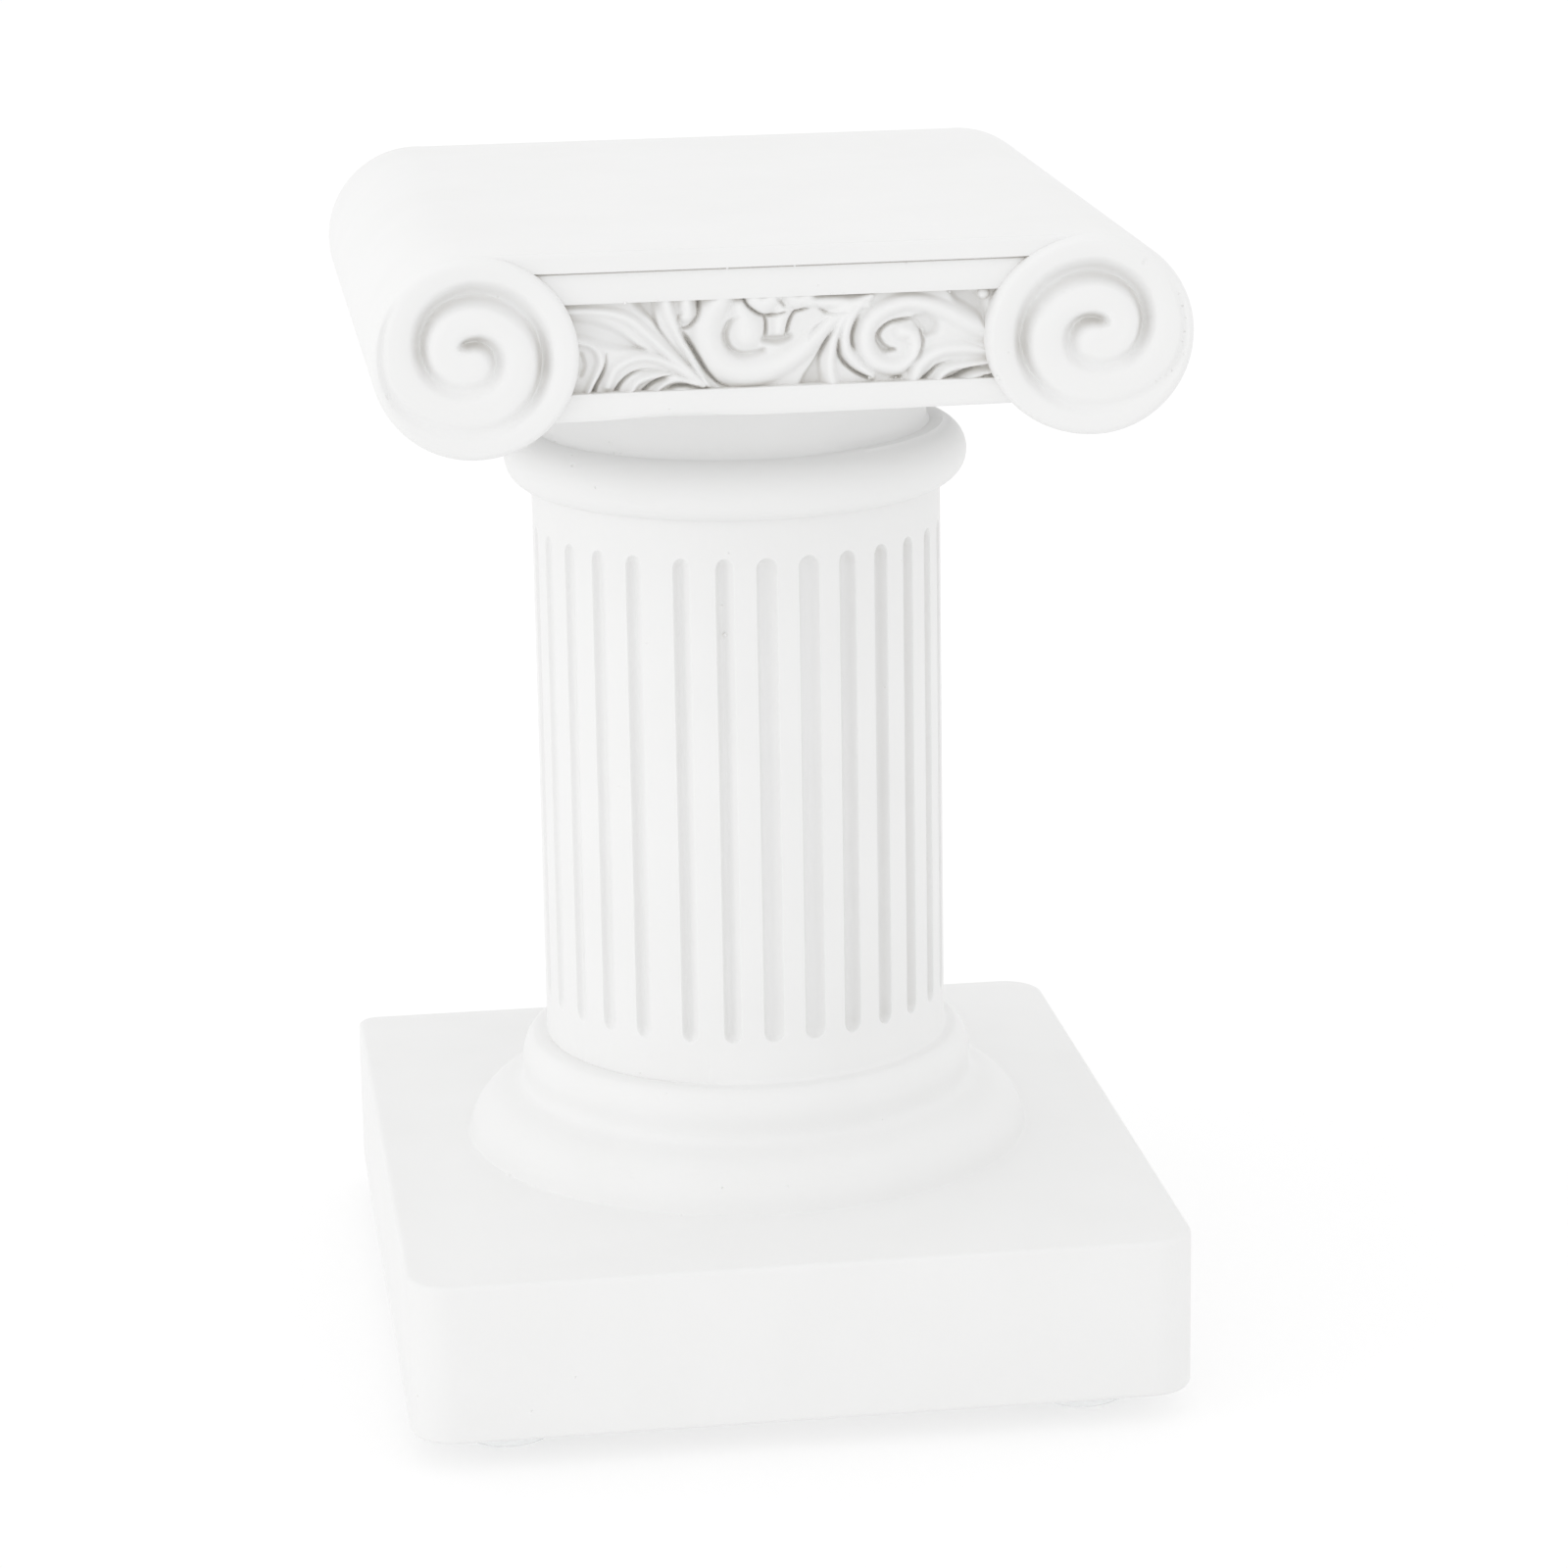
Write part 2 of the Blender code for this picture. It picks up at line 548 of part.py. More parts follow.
def make_casting(collection, cutters, material):
    """The whole casting: plinth, turned column, capital, mouldings, volutes, frieze carving and flutes."""
    body = add_object("column_casting", plinth_mesh(), collection)
    body.data.materials.append(material)
    combine(body, add_cutter("column", column_mesh(), cutters), "UNION")
    combine(body, add_cutter("flutes", flute_mesh(), cutters), "DIFFERENCE")
    capital = add_cutter("capital", capital_mesh(), cutters)
    for side, label, strokes, triangles in (
        (-1, "front", main_scrolls() + leaves(), FRONT_TRIANGLES),
        (1, "back", main_scrolls(), BACK_TRIANGLES),
    ):
        mouldings = add_cutter(f"mouldings_{label}", moulding_cutter_mesh(side), cutters)
        combine(capital, mouldings, "DIFFERENCE")
        relief = add_cutter(f"relief_{label}", relief_mesh(side, strokes, triangles), cutters)
        combine(capital, relief, "UNION")
        for across, hand in ((-1, "left"), (1, "right")):
            volute = add_cutter(f"volute_{label}_{hand}", volute_mesh(across, side), cutters)
            groove = add_cutter(f"groove_{label}_{hand}", groove_mesh(across, side), cutters)
            combine(volute, groove, "DIFFERENCE")
            combine(capital, volute, "UNION")
    combine(body, capital, "UNION")


def pad_mesh():
    """One clear pad: a flat disc with a rounded lower edge."""
    radius = PAD_DIAMETER / 2
    edge = (radius - PAD_ROUNDING, PAD_ROUNDING)
    profile = [(0, PAD_HEIGHT), (radius, PAD_HEIGHT)]
    profile += arc(edge, PAD_ROUNDING, 0, -math.pi / 2, PAD_ROUNDING_STEPS)
    profile += [(0, 0)]
    return turned_mesh("pad", profile, PAD_STEPS)


def make_pads(collection, material):
    """The four pads near the plinth's corners."""
    mesh = pad_mesh()
    mesh.materials.append(material)
    out_x = PLINTH_WIDTH / 2 - PAD_INSET
    out_y = PLINTH_DEPTH / 2 - PAD_INSET
    for across, hand in ((-1, "left"), (1, "right")):
        for along, label in ((-1, "front"), (1, "back")):
            pad = add_object(f"foot_pad_{label}_{hand}", mesh, collection)
            pad.location = (across * out_x, along * out_y, 0)


def main():
    """Build the ornament."""
    clear_scene()
    ornament = new_collection("roman_column")
    cutters = new_collection("cutters")
    cast = new_material("white_cast", (0.86, 0.86, 0.85), 0.75)
    clear = new_material("clear_rubber", (0.9, 0.92, 0.92), 0.2, transmission=0.9)
    make_casting(ornament, cutters, cast)
    make_pads(ornament, clear)


main()
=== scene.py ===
"""Studio picture of a small white column ornament.

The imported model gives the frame. The casting is made again here with its fine carving, its flutes and its
small casting marks, and the four clear pads are made again with round edges. All sizes of the classes are in
millimetres, and the meshes are in metres.
"""

import logging
import math
from contextlib import contextmanager
from dataclasses import dataclass
from enum import Enum
from typing import Callable, Iterator, Sequence

import bmesh
import bpy
import numpy as np
from mathutils import Matrix, Vector

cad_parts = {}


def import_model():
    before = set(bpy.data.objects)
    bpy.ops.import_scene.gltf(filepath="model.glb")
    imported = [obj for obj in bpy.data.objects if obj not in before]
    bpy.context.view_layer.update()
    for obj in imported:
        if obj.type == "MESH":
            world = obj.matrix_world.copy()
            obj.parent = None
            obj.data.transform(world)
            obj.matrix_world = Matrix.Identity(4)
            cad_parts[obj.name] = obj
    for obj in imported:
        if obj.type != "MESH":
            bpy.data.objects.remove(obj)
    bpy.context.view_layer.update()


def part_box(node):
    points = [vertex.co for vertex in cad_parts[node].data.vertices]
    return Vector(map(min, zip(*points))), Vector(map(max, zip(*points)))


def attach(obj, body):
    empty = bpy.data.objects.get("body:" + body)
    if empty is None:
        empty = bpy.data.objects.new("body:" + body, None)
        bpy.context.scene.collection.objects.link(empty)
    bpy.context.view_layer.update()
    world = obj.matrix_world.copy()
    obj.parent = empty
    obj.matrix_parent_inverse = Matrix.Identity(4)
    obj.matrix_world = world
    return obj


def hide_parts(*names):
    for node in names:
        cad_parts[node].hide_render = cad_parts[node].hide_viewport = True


MM = 0.001
WELD = 1e-8
SMOOTH_ANGLE = math.radians(34)
LOG = logging.getLogger("column ornament")

Point = tuple[float, float]
Curve = tuple[Point, ...]
Colour = tuple[float, float, float, float]
WHITE: Colour = (1, 1, 1, 1)


class Side(Enum):
    """A long face of the capital, by its direction along Y."""

    FRONT = -1
    BACK = 1


class Hand(Enum):
    """An end of the capital, by its direction along X."""

    LEFT = -1
    RIGHT = 1


def deselect() -> None:
    """Leaves nothing selected."""
    bpy.ops.object.select_all(action="DESELECT")


def hold(thing: bpy.types.Object) -> None:
    """Makes one object the only selected and the active one.

    Args:
        thing: The object.
    """
    deselect()
    thing.select_set(True)
    bpy.context.view_layer.objects.active = thing


@contextmanager
def editing(thing: bpy.types.Object, select: bool = True) -> Iterator[None]:
    """Holds an object in edit mode for the lines that follow.

    Args:
        thing: The mesh object to edit.
        select: Whether all of it starts selected.

    Returns:
        A context without a value.
    """
    hold(thing)
    bpy.ops.object.mode_set(mode="EDIT")
    bpy.ops.mesh.select_all(action="SELECT" if select else "DESELECT")
    yield
    bpy.ops.object.mode_set(mode="OBJECT")


def pick_edges(thing: bpy.types.Object, test: Callable[[Vector, Vector], bool]) -> None:
    """Selects, in edit mode, the edges whose two ends pass a test.

    Args:
        thing: The mesh object in edit mode.
        test: Says of an edge's two ends whether the edge is wanted.
    """
    mesh = bmesh.from_edit_mesh(thing.data)
    bpy.ops.mesh.select_mode(type="EDGE")
    for edge in mesh.edges:
        edge.select_set(test(edge.verts[0].co, edge.verts[1].co))
    mesh.select_flush_mode()
    bmesh.update_edit_mesh(thing.data)


def newest(name: str) -> bpy.types.Object:
    """Names the object that the last operator added.

    Args:
        name: Its new name.

    Returns:
        The object.
    """
    thing = bpy.context.view_layer.objects.active
    thing.name = name
    thing.data.name = name
    return thing


def drawn(name: str, points: Sequence[Sequence[float]], face: bool) -> bpy.types.Object:
    """Draws an outline as a new object.

    Args:
        name: Name of the object.
        points: Corners in millimetres, each with x, y and z.
        face: Whether the outline is closed and filled, or an open line.

    Returns:
        The object with the outline in metres.
    """
    corners = [Vector(p) * MM for p in points]
    links = [] if face else [(i, i + 1) for i in range(len(corners) - 1)]
    mesh = bpy.data.meshes.new(name)
    mesh.from_pydata(corners, links, [list(range(len(corners)))] if face else [])
    thing = bpy.data.objects.new(name, mesh)
    bpy.context.scene.collection.objects.link(thing)
    return thing


def extruded(thing: bpy.types.Object, run: Sequence[float]) -> None:
    """Makes a filled outline solid by an extrusion.

    Args:
        thing: The object with the outline.
        run: How far the outline goes along each axis, in millimetres.
    """
    with editing(thing):
        bpy.ops.mesh.extrude_region_move(TRANSFORM_OT_translate={"value": tuple(Vector(run) * MM)})
        bpy.ops.mesh.select_all(action="SELECT")
        bpy.ops.mesh.normals_make_consistent(inside=False)


def spun(thing: bpy.types.Object, steps: int, axis: Sequence[float], centre: Sequence[float]) -> None:
    """Turns a drawn line round an axis into a closed solid.

    Args:
        thing: The object with the line, whose two ends lie on the axis.
        steps: Number of faces round the axis.
        axis: Direction of the axis.
        centre: A point of the axis in millimetres.
    """
    with editing(thing):
        place = tuple(Vector(centre) * MM)
        bpy.ops.mesh.spin(steps=steps, angle=2 * math.pi, center=place, axis=tuple(axis))
        bpy.ops.mesh.select_all(action="SELECT")
        bpy.ops.mesh.remove_doubles(threshold=WELD)
        bpy.ops.mesh.dissolve_degenerate(threshold=WELD)
        bpy.ops.mesh.select_all(action="SELECT")
        bpy.ops.mesh.normals_make_consistent(inside=False)


def turned(name: str, outline: Sequence[Point], steps: int, middle: Point = (0, 0)) -> bpy.types.Object:
    """Makes a solid by turning an outline round an upright axis.

    Args:
        name: Name of the object.
        outline: Its points as radius and height, the first and the last on the axis.
        steps: Number of faces round the axis.
        middle: The axis, as x and y.

    Returns:
        The solid.
    """
    solid = drawn(name, [(middle[0] + r, middle[1], z) for r, z in outline], face=False)
    spun(solid, steps, (0, 0, 1), (*middle, 0))
    return solid


def points_of(thing: bpy.types.Object) -> np.ndarray:
    """All points of a mesh.

    Args:
        thing: The mesh object.

    Returns:
        Their places in millimetres, one row each.
    """
    flat = np.empty(len(thing.data.vertices) * 3)
    thing.data.vertices.foreach_get("co", flat)
    return flat.reshape(-1, 3) / MM


def move_points(thing: bpy.types.Object, points: np.ndarray) -> None:
    """Puts all points of a mesh at new places in millimetres."""
    thing.data.vertices.foreach_set("co", (points * MM).ravel())
    thing.data.update()


def turns_of(points: np.ndarray) -> np.ndarray:
    """How far points are turned to the right from the front, in degrees."""
    return np.degrees(np.arctan2(points[:, 0], -points[:, 1]))


def read_off(at: np.ndarray, table: Curve) -> np.ndarray:
    """The values that a table of places and values gives at other places."""
    return np.interp(at, *zip(*table))


def combine(base: bpy.types.Object, other: bpy.types.Object, operation: str) -> None:
    """Joins a solid to a base or cuts it from the base, and removes it.

    Args:
        base: The object that is kept.
        other: The solid that is used up.
        operation: UNION or DIFFERENCE.
    """
    hold(base)
    modifier = base.modifiers.new(operation.lower(), "BOOLEAN")
    modifier.operation = operation
    modifier.solver = "MANIFOLD"
    modifier.object = other
    bpy.ops.object.modifier_apply(modifier=modifier.name)
    bpy.data.objects.remove(other, do_unlink=True)


def arc(
    centre: Point, radius: float, first: float, last: float, steps: int, stretch: float = 1
) -> list[Point]:
    """Points along an arc.

    Args:
        centre: Middle of the arc.
        radius: Its radius.
        first: Angle of its first point, in degrees.
        last: Angle of its last point.
        steps: Number of its steps.
        stretch: Its height as a share of its width.

    Returns:
        The points, ends included.
    """
    turns = np.radians(np.linspace(first, last, steps + 1))
    return [(centre[0] + radius * math.cos(t), centre[1] + radius * stretch * math.sin(t)) for t in turns]


def flowing(
    points: Sequence[Point], values: Sequence[float], per_span: int = 6
) -> tuple[np.ndarray, np.ndarray]:
    """A smooth line through points, with a value that changes along it.

    Args:
        points: The places that the line passes.
        values: The value at each place, or at even shares of the line.
        per_span: Number of short lines between two places.

    Returns:
        The dense points and the value at each of them.
    """
    knots = np.array(points, float)
    ends = np.vstack([2 * knots[0] - knots[1], knots, 2 * knots[-1] - knots[-2]])
    dense = []
    for i in range(len(knots) - 1):
        a, b, c, d = ends[i : i + 4]
        t = np.linspace(0, 1, per_span, endpoint=False)[:, None]
        square, cube = 2 * a - 5 * b + 4 * c - d, 3 * b - a - 3 * c + d
        dense.append(0.5 * (2 * b + (c - a) * t + square * t**2 + cube * t**3))
    line = np.vstack(dense + [knots[-1:]])
    share = np.linspace(0, 1, len(line))
    return line, np.interp(share, np.linspace(0, 1, len(values)), values)


def nearness(
    places: np.ndarray, line: np.ndarray, widths: np.ndarray, limit: float = 1
) -> tuple[np.ndarray, np.ndarray]:
    """How close places are to a line, as a share of its half-width there.

    Args:
        places: The places, one row each.
        line: The dense points of the line.
        widths: The half-width at each point.
        limit: Share of the greatest half-width beyond which places are left out.

    Returns:
        The smallest distance over half-width, and the position along the line where it is found.
    """
    best = np.full(len(places), np.inf)
    where = np.zeros(len(places))
    reach = widths.max() * limit
    near = np.all((places > line.min(0) - reach) & (places < line.max(0) + reach), axis=1)
    some = places[near]
    found, spot = best[near], where[near]
    for i in range(len(line) - 1):
        run = line[i + 1] - line[i]
        share = np.clip((some - line[i]) @ run / max(run @ run, WELD), 0, 1)
        away = np.linalg.norm(some - line[i] - share[:, None] * run, axis=1)
        ratio = away / (widths[i] + (widths[i + 1] - widths[i]) * share)
        closer = ratio < found
        found[closer] = ratio[closer]
        spot[closer] = (i + share[closer]) / (len(line) - 1)
    best[near], where[near] = found, spot
    return best, where


def smooth_drop(share: np.ndarray) -> np.ndarray:
    """One at zero, falling softly to nothing at one and beyond."""
    return 0.5 + 0.5 * np.cos(math.pi * np.clip(share, 0, 1))


@dataclass(frozen=True)
class CastFinish:
    """Matte near-white casting with a faint mottle, fine grain and a few open pinholes."""

    pale: Colour = (0.83, 0.83, 0.827, 1)
    deep: Colour = (0.821, 0.821, 0.817, 1)
    roughness: Point = (0.58, 0.72)
    shine: float = 0.35
    mottle_scale: float = 95
    mottle_detail: float = 3
    patch_scale: float = 380
    grain_scale: float = 2600
    grain_height: float = 0.000012
    wave_scale: float = 160
    wave_height: float = 0.00002
    # Painted shade with a warm dirt and wax tint: the colour of the deepest hollows, how far a wall shelters,
    # and the openness counted as fully darkened and as clean
    dust_and_shade: Colour = (0.71, 0.695, 0.665, 1)
    dust_and_shade_reach: float = 0.0028
    dust_and_shade_range: Point = (0.12, 0.58)

    def material(self) -> bpy.types.Material:
        """Builds the node material.

        Returns:
            The casting's material.
        """
        craft = Shader("cast white")
        place = craft.coordinates()
        mottle = craft.noise(place, self.mottle_scale, self.mottle_detail)
        colour = craft.blend_colours(mottle, self.deep, self.pale)
        # Sheltered hollows are darkened in the colour itself: painted shade, with a warm tint of dirt and wax
        dusty_and_shaded = craft.dusty_and_shaded(colour, self.dust_and_shade, self.dust_and_shade_reach, self.dust_and_shade_range)
        craft.join(dusty_and_shaded, craft.surface.inputs["Base Color"])
        patch = craft.noise(place, self.patch_scale)
        craft.join(craft.ranged(patch, self.roughness), craft.surface.inputs["Roughness"])
        wave = craft.bump(craft.noise(place, self.wave_scale), self.wave_height)
        grain = craft.bump(craft.noise(place, self.grain_scale), self.grain_height, wave)
        craft.join(grain, craft.surface.inputs["Normal"])
        craft.surface.inputs["Specular IOR Level"].default_value = self.shine
        return craft.material


@dataclass(frozen=True)
class PadFinish:
    """Clear soft rubber with a faint haze."""

    tint: Colour = (0.93, 0.95, 0.95, 1)
    roughness: Point = (0.12, 0.22)
    haze_scale: float = 900
    haze_height: float = 0.000008
    bend: float = 1.44
    cover: float = 0.45

    def material(self) -> bpy.types.Material:
        """Builds the node material.

        Returns:
            The pads' material.
        """
        craft = Shader("clear pad")
        haze = craft.noise(craft.coordinates(), self.haze_scale)
        craft.join(craft.ranged(haze, self.roughness), craft.surface.inputs["Roughness"])
        craft.join(craft.bump(haze, self.haze_height), craft.surface.inputs["Normal"])
        craft.surface.inputs["Base Color"].default_value = self.tint
        craft.surface.inputs["IOR"].default_value = self.bend
        craft.surface.inputs["Alpha"].default_value = self.cover
        return craft.material


@dataclass(frozen=True)
class FloorFinish:
    """White light table: a pale floor that glows a little from below."""

    pale: Colour = (0.475, 0.475, 0.475, 1)
    deep: Colour = (0.465, 0.465, 0.465, 1)
    cloud_scale: float = 3
    roughness: float = 0.9
    shine: float = 0.1
    glow: float = 0.515

    def material(self) -> bpy.types.Material:
        """Builds the node material.

        Returns:
            The floor's material.
        """
        craft = Shader("studio floor")
        cloud = craft.noise(craft.coordinates(), self.cloud_scale)
        colour = craft.blend_colours(cloud, self.deep, self.pale)
        craft.join(colour, craft.surface.inputs["Base Color"])
        craft.surface.inputs["Roughness"].default_value = self.roughness
        craft.surface.inputs["Emission Color"].default_value = WHITE
        craft.surface.inputs["Emission Strength"].default_value = self.glow
        craft.surface.inputs["Specular IOR Level"].default_value = self.shine
        return craft.material


class Shader:
    """A node material in the making."""

    # Looks at the surroundings for each place, and the part of a noise pattern's values that is spread out
    shelter_samples: int = 12
    noise_range: Point = (0.3, 0.7)
    blend_range: Point = (0.35, 0.65)

    def __init__(self, name: str) -> None:
        """Starts a material with its surface shader.

        Args:
            name: Name of the material.
        """
        self.material = bpy.data.materials.new(name)
        self.material.use_nodes = True
        self.nodes = self.material.node_tree.nodes
        self.surface = self.nodes["Principled BSDF"]

    def join(self, source: bpy.types.NodeSocket, target: bpy.types.NodeSocket) -> None:
        """Links two sockets."""
        self.material.node_tree.links.new(source, target)

    def coordinates(self) -> bpy.types.NodeSocket:
        """The object's own coordinates, in metres."""
        return self.nodes.new("ShaderNodeTexCoord").outputs["Object"]

    def noise(self, place: bpy.types.NodeSocket, scale: float, detail: float = 2) -> bpy.types.NodeSocket:
        """A noise pattern.

        Args:
            place: The coordinates.
            scale: Number of patches a metre.
            detail: Number of finer layers.

        Returns:
            The pattern's value.
        """
        node = self.nodes.new("ShaderNodeTexNoise")
        node.inputs["Scale"].default_value = scale
        node.inputs["Detail"].default_value = detail
        self.join(place, node.inputs["Vector"])
        return node.outputs["Fac"]

    def dusty_and_shaded(
        self, colour: bpy.types.NodeSocket, dust_and_shade: Colour, reach: float, limits: Point
    ) -> bpy.types.NodeSocket:
        """Darkens a colour where the surface is sheltered: painted shade in the hollows, with a warm tint of
        dirt and wax.

        Args:
            colour: The clean colour.
            dust_and_shade: The colour of the deepest hollows, painted shade with a warm tint of dirt and wax.
            reach: How far away a wall shelters, in metres.
            limits: Openness that counts as fully darkened and as clean.

        Returns:
            The colour with its painted shade and dirt tint.
        """
        # How open each place is sets how much painted shade and dirt tint it gets
        open_air = self.nodes.new("ShaderNodeAmbientOcclusion")
        open_air.samples = self.shelter_samples
        open_air.only_local = True
        open_air.inputs["Distance"].default_value = reach
        clean = self.nodes.new("ShaderNodeMapRange")
        clean.interpolation_type = "SMOOTHSTEP"
        clean.inputs["From Min"].default_value, clean.inputs["From Max"].default_value = limits
        self.join(open_air.outputs["AO"], clean.inputs["Value"])
        mix = self.nodes.new("ShaderNodeMix")
        mix.data_type = "RGBA"
        self.join(clean.outputs["Result"], mix.inputs["Factor"])
        sockets = [socket for socket in mix.inputs if socket.type == "RGBA"]
        sockets[0].default_value = dust_and_shade
        self.join(colour, sockets[1])
        return next(socket for socket in mix.outputs if socket.type == "RGBA")

    def ranged(self, value: bpy.types.NodeSocket, ends: Point) -> bpy.types.NodeSocket:
        """Spreads a pattern between two values.

        Args:
            value: The pattern.
            ends: The lowest and the highest result.

        Returns:
            The spread value.
        """
        node = self.nodes.new("ShaderNodeMapRange")
        limits = zip(("From Min", "From Max", "To Min", "To Max"), (*self.noise_range, *ends))
        for name, limit in limits:
            node.inputs[name].default_value = limit
        self.join(value, node.inputs["Value"])
        return node.outputs["Result"]

    def blend_colours(self, value: bpy.types.NodeSocket, low: Colour, high: Colour) -> bpy.types.NodeSocket:
        """A colour between two, by a pattern.

        Args:
            value: The pattern.
            low: Colour of its low places.
            high: Colour of its high places.

        Returns:
            The colour.
        """
        node = self.nodes.new("ShaderNodeValToRGB")
        for stop, place, colour in zip(node.color_ramp.elements, self.blend_range, (low, high)):
            stop.position, stop.color = place, colour
        self.join(value, node.inputs["Fac"])
        return node.outputs["Color"]

    def bump(
        self, value: bpy.types.NodeSocket, height: float, before: bpy.types.NodeSocket | None = None
    ) -> bpy.types.NodeSocket:
        """Raises a pattern on the surface.

        Args:
            value: The pattern.
            height: Its height in metres.
            before: A bump that it adds to.

        Returns:
            The bent normal.
        """
        node = self.nodes.new("ShaderNodeBump")
        node.inputs["Strength"].default_value = 1.0
        node.inputs["Distance"].default_value = height
        self.join(value, node.inputs["Height"])
        if before is not None:
            self.join(before, node.inputs["Normal"])
        return node.outputs["Normal"]


@dataclass
class Plinth:
    """The oblong slab at the foot, with round upright corners."""

    width: float
    depth: float
    bottom: float
    top: float
    corner_radius: float = 4.5
    corner_steps: int = 12
    edge_radius: float = 0.55
    edge_steps: int = 4
    tight_radius: float = 2.2

    def build(self) -> bpy.types.Object:
        """A cube whose upright corners and level edges are bevelled in edit mode.

        Returns:
            The plinth as a solid.
        """
        height = self.top - self.bottom
        bpy.ops.mesh.primitive_cube_add(size=MM, location=(0, 0, (self.bottom + height / 2) * MM))
        slab = newest("plinth")
        slab.scale = (self.width, self.depth, height)
        bpy.ops.object.transform_apply(location=True, rotation=True, scale=True)
        rise = height * MM / 2
        with editing(slab, select=False):
            pick_edges(slab, lambda a, b: abs(a.z - b.z) > rise and a.x < 0 < a.y)
            self.bevel(self.tight_radius, self.corner_steps)
            pick_edges(slab, lambda a, b: abs(a.z - b.z) > rise and (a.x > 0 or a.y < 0))
            self.bevel(self.corner_radius, self.corner_steps)
            pick_edges(slab, lambda a, b: abs(a.z - b.z) < rise)
            self.bevel(self.edge_radius, self.edge_steps)
        return slab

    def bevel(self, radius: float, steps: int) -> None:
        """Rounds the selected edges."""
        bpy.ops.mesh.bevel(offset=radius * MM, segments=steps, affect="EDGES", clamp_overlap=False)


@dataclass
class BaseMouldings:
    """The quarter-round foot and the torus above it, turned as one."""

    foot_z: float
    top_z: float
    shaft_radius: float
    foot_radius: float = 30.0
    foot_width: float = 6.2
    foot_height: float = 5.6
    foot_steps: int = 14
    foot_end: float = 8.0
    torus_radius: float = 24.25
    torus_width: float = 2.3
    torus_height: float = 2.9
    undercut: float = 38.0
    torus_steps: int = 14
    softening: float = 1.7
    joint: float = 0.5
    joint_steps: int = 4
    samples: int = 10
    spare_points: int = 8
    cove: float = 0.8
    cove_rise: float = 0.9
    cove_end: float = 245.0
    cove_overlap: float = 0.05
    cove_inset: float = 0.06
    cove_steps: int = 5
    crisp_inset: float = 0.55
    crisp_reach: float = 0.1
    round_steps: int = 120
    buried: float = 2.0

    # Where the joint with the shaft stays crisp, by the turn to the right from the front
    crisp_turns: Curve = ((-180, 0), (-110, 0), (-80, 1), (-35, 1), (-12, 0), (180, 0))

    def outline(self) -> list[Point]:
        """The visible outline from the shaft down to the plinth.

        Returns:
            Points as radius and height.
        """
        middle = self.torus_radius - self.torus_width
        start = math.degrees(math.acos((self.shaft_radius - middle) / self.torus_width))
        torus_rise, foot_rise = self.torus_height / self.torus_width, self.foot_height / self.foot_width
        centre = (middle, self.top_z - self.torus_height * math.sin(math.radians(start)))
        torus = arc(centre, self.torus_width, start, -self.undercut, self.torus_steps, torus_rise)
        foot_centre = (self.foot_radius - self.foot_width, self.foot_z)
        foot = arc(foot_centre, self.foot_width, 90, self.foot_end, self.foot_steps, foot_rise)
        joint_centre = (self.foot_radius + self.joint, self.foot_z + self.cove_rise * self.joint)
        return torus + foot + arc(joint_centre, self.joint, 180, 270, self.joint_steps)

    def softened(self, outline: list[Point]) -> list[Point]:
        """Rounds an outline's inner corners by an average along it.

        Args:
            outline: The outline with sharp corners.

        Returns:
            The outline with soft corners and the same ends.
        """
        line = np.array(outline)
        run = np.concatenate([[0], np.cumsum(np.linalg.norm(np.diff(line, axis=0), axis=1))])
        even = np.linspace(0, run[-1], self.samples * len(line))
        dense = np.stack([np.interp(even, run, line[:, k]) for k in (0, 1)], 1)
        wanted = np.linspace(0, run[-1], self.torus_steps + self.foot_steps + self.spare_points)
        soft = [tuple(line[0])]
        for at in wanted[1:-1]:
            reach = min(self.softening, at / 2, (run[-1] - at) / 2)
            share = np.exp(-(((even - at) / max(reach, WELD)) ** 2))
            soft.append(tuple((dense * share[:, None]).sum(0) / share.sum()))
        return soft + [tuple(line[-1])]

    def build(self) -> bpy.types.Object:
        """Spins the outline.

        Returns:
            The mouldings as a solid that reaches into the plinth and the shaft.
        """
        outline = self.softened(self.outline())
        cove_x = self.shaft_radius + self.cove - self.cove_overlap
        cove_z = self.top_z + self.cove_rise * self.cove
        cove = arc((cove_x, cove_z), self.cove, 180, self.cove_end, self.cove_steps)
        inner = self.shaft_radius - self.buried
        lid = [(r, cove[0][1]) for r in (0, inner, self.shaft_radius - self.cove_inset)]
        outline = lid + cove + outline[2:]
        outline += [(outline[-1][0], self.foot_z - self.buried), (0, self.foot_z - self.buried)]
        solid = turned("base mouldings", outline, self.round_steps)
        points = points_of(solid)
        crisp = read_off(turns_of(points), self.crisp_turns) * (points[:, 2] > self.top_z - self.crisp_reach)
        away = np.hypot(points[:, 0], points[:, 1])
        moved = self.crisp_inset * crisp * (away > inner + self.buried / 2)
        points[:, :2] *= (1 - moved / np.maximum(away, WELD))[:, None]
        move_points(solid, points)
        return solid


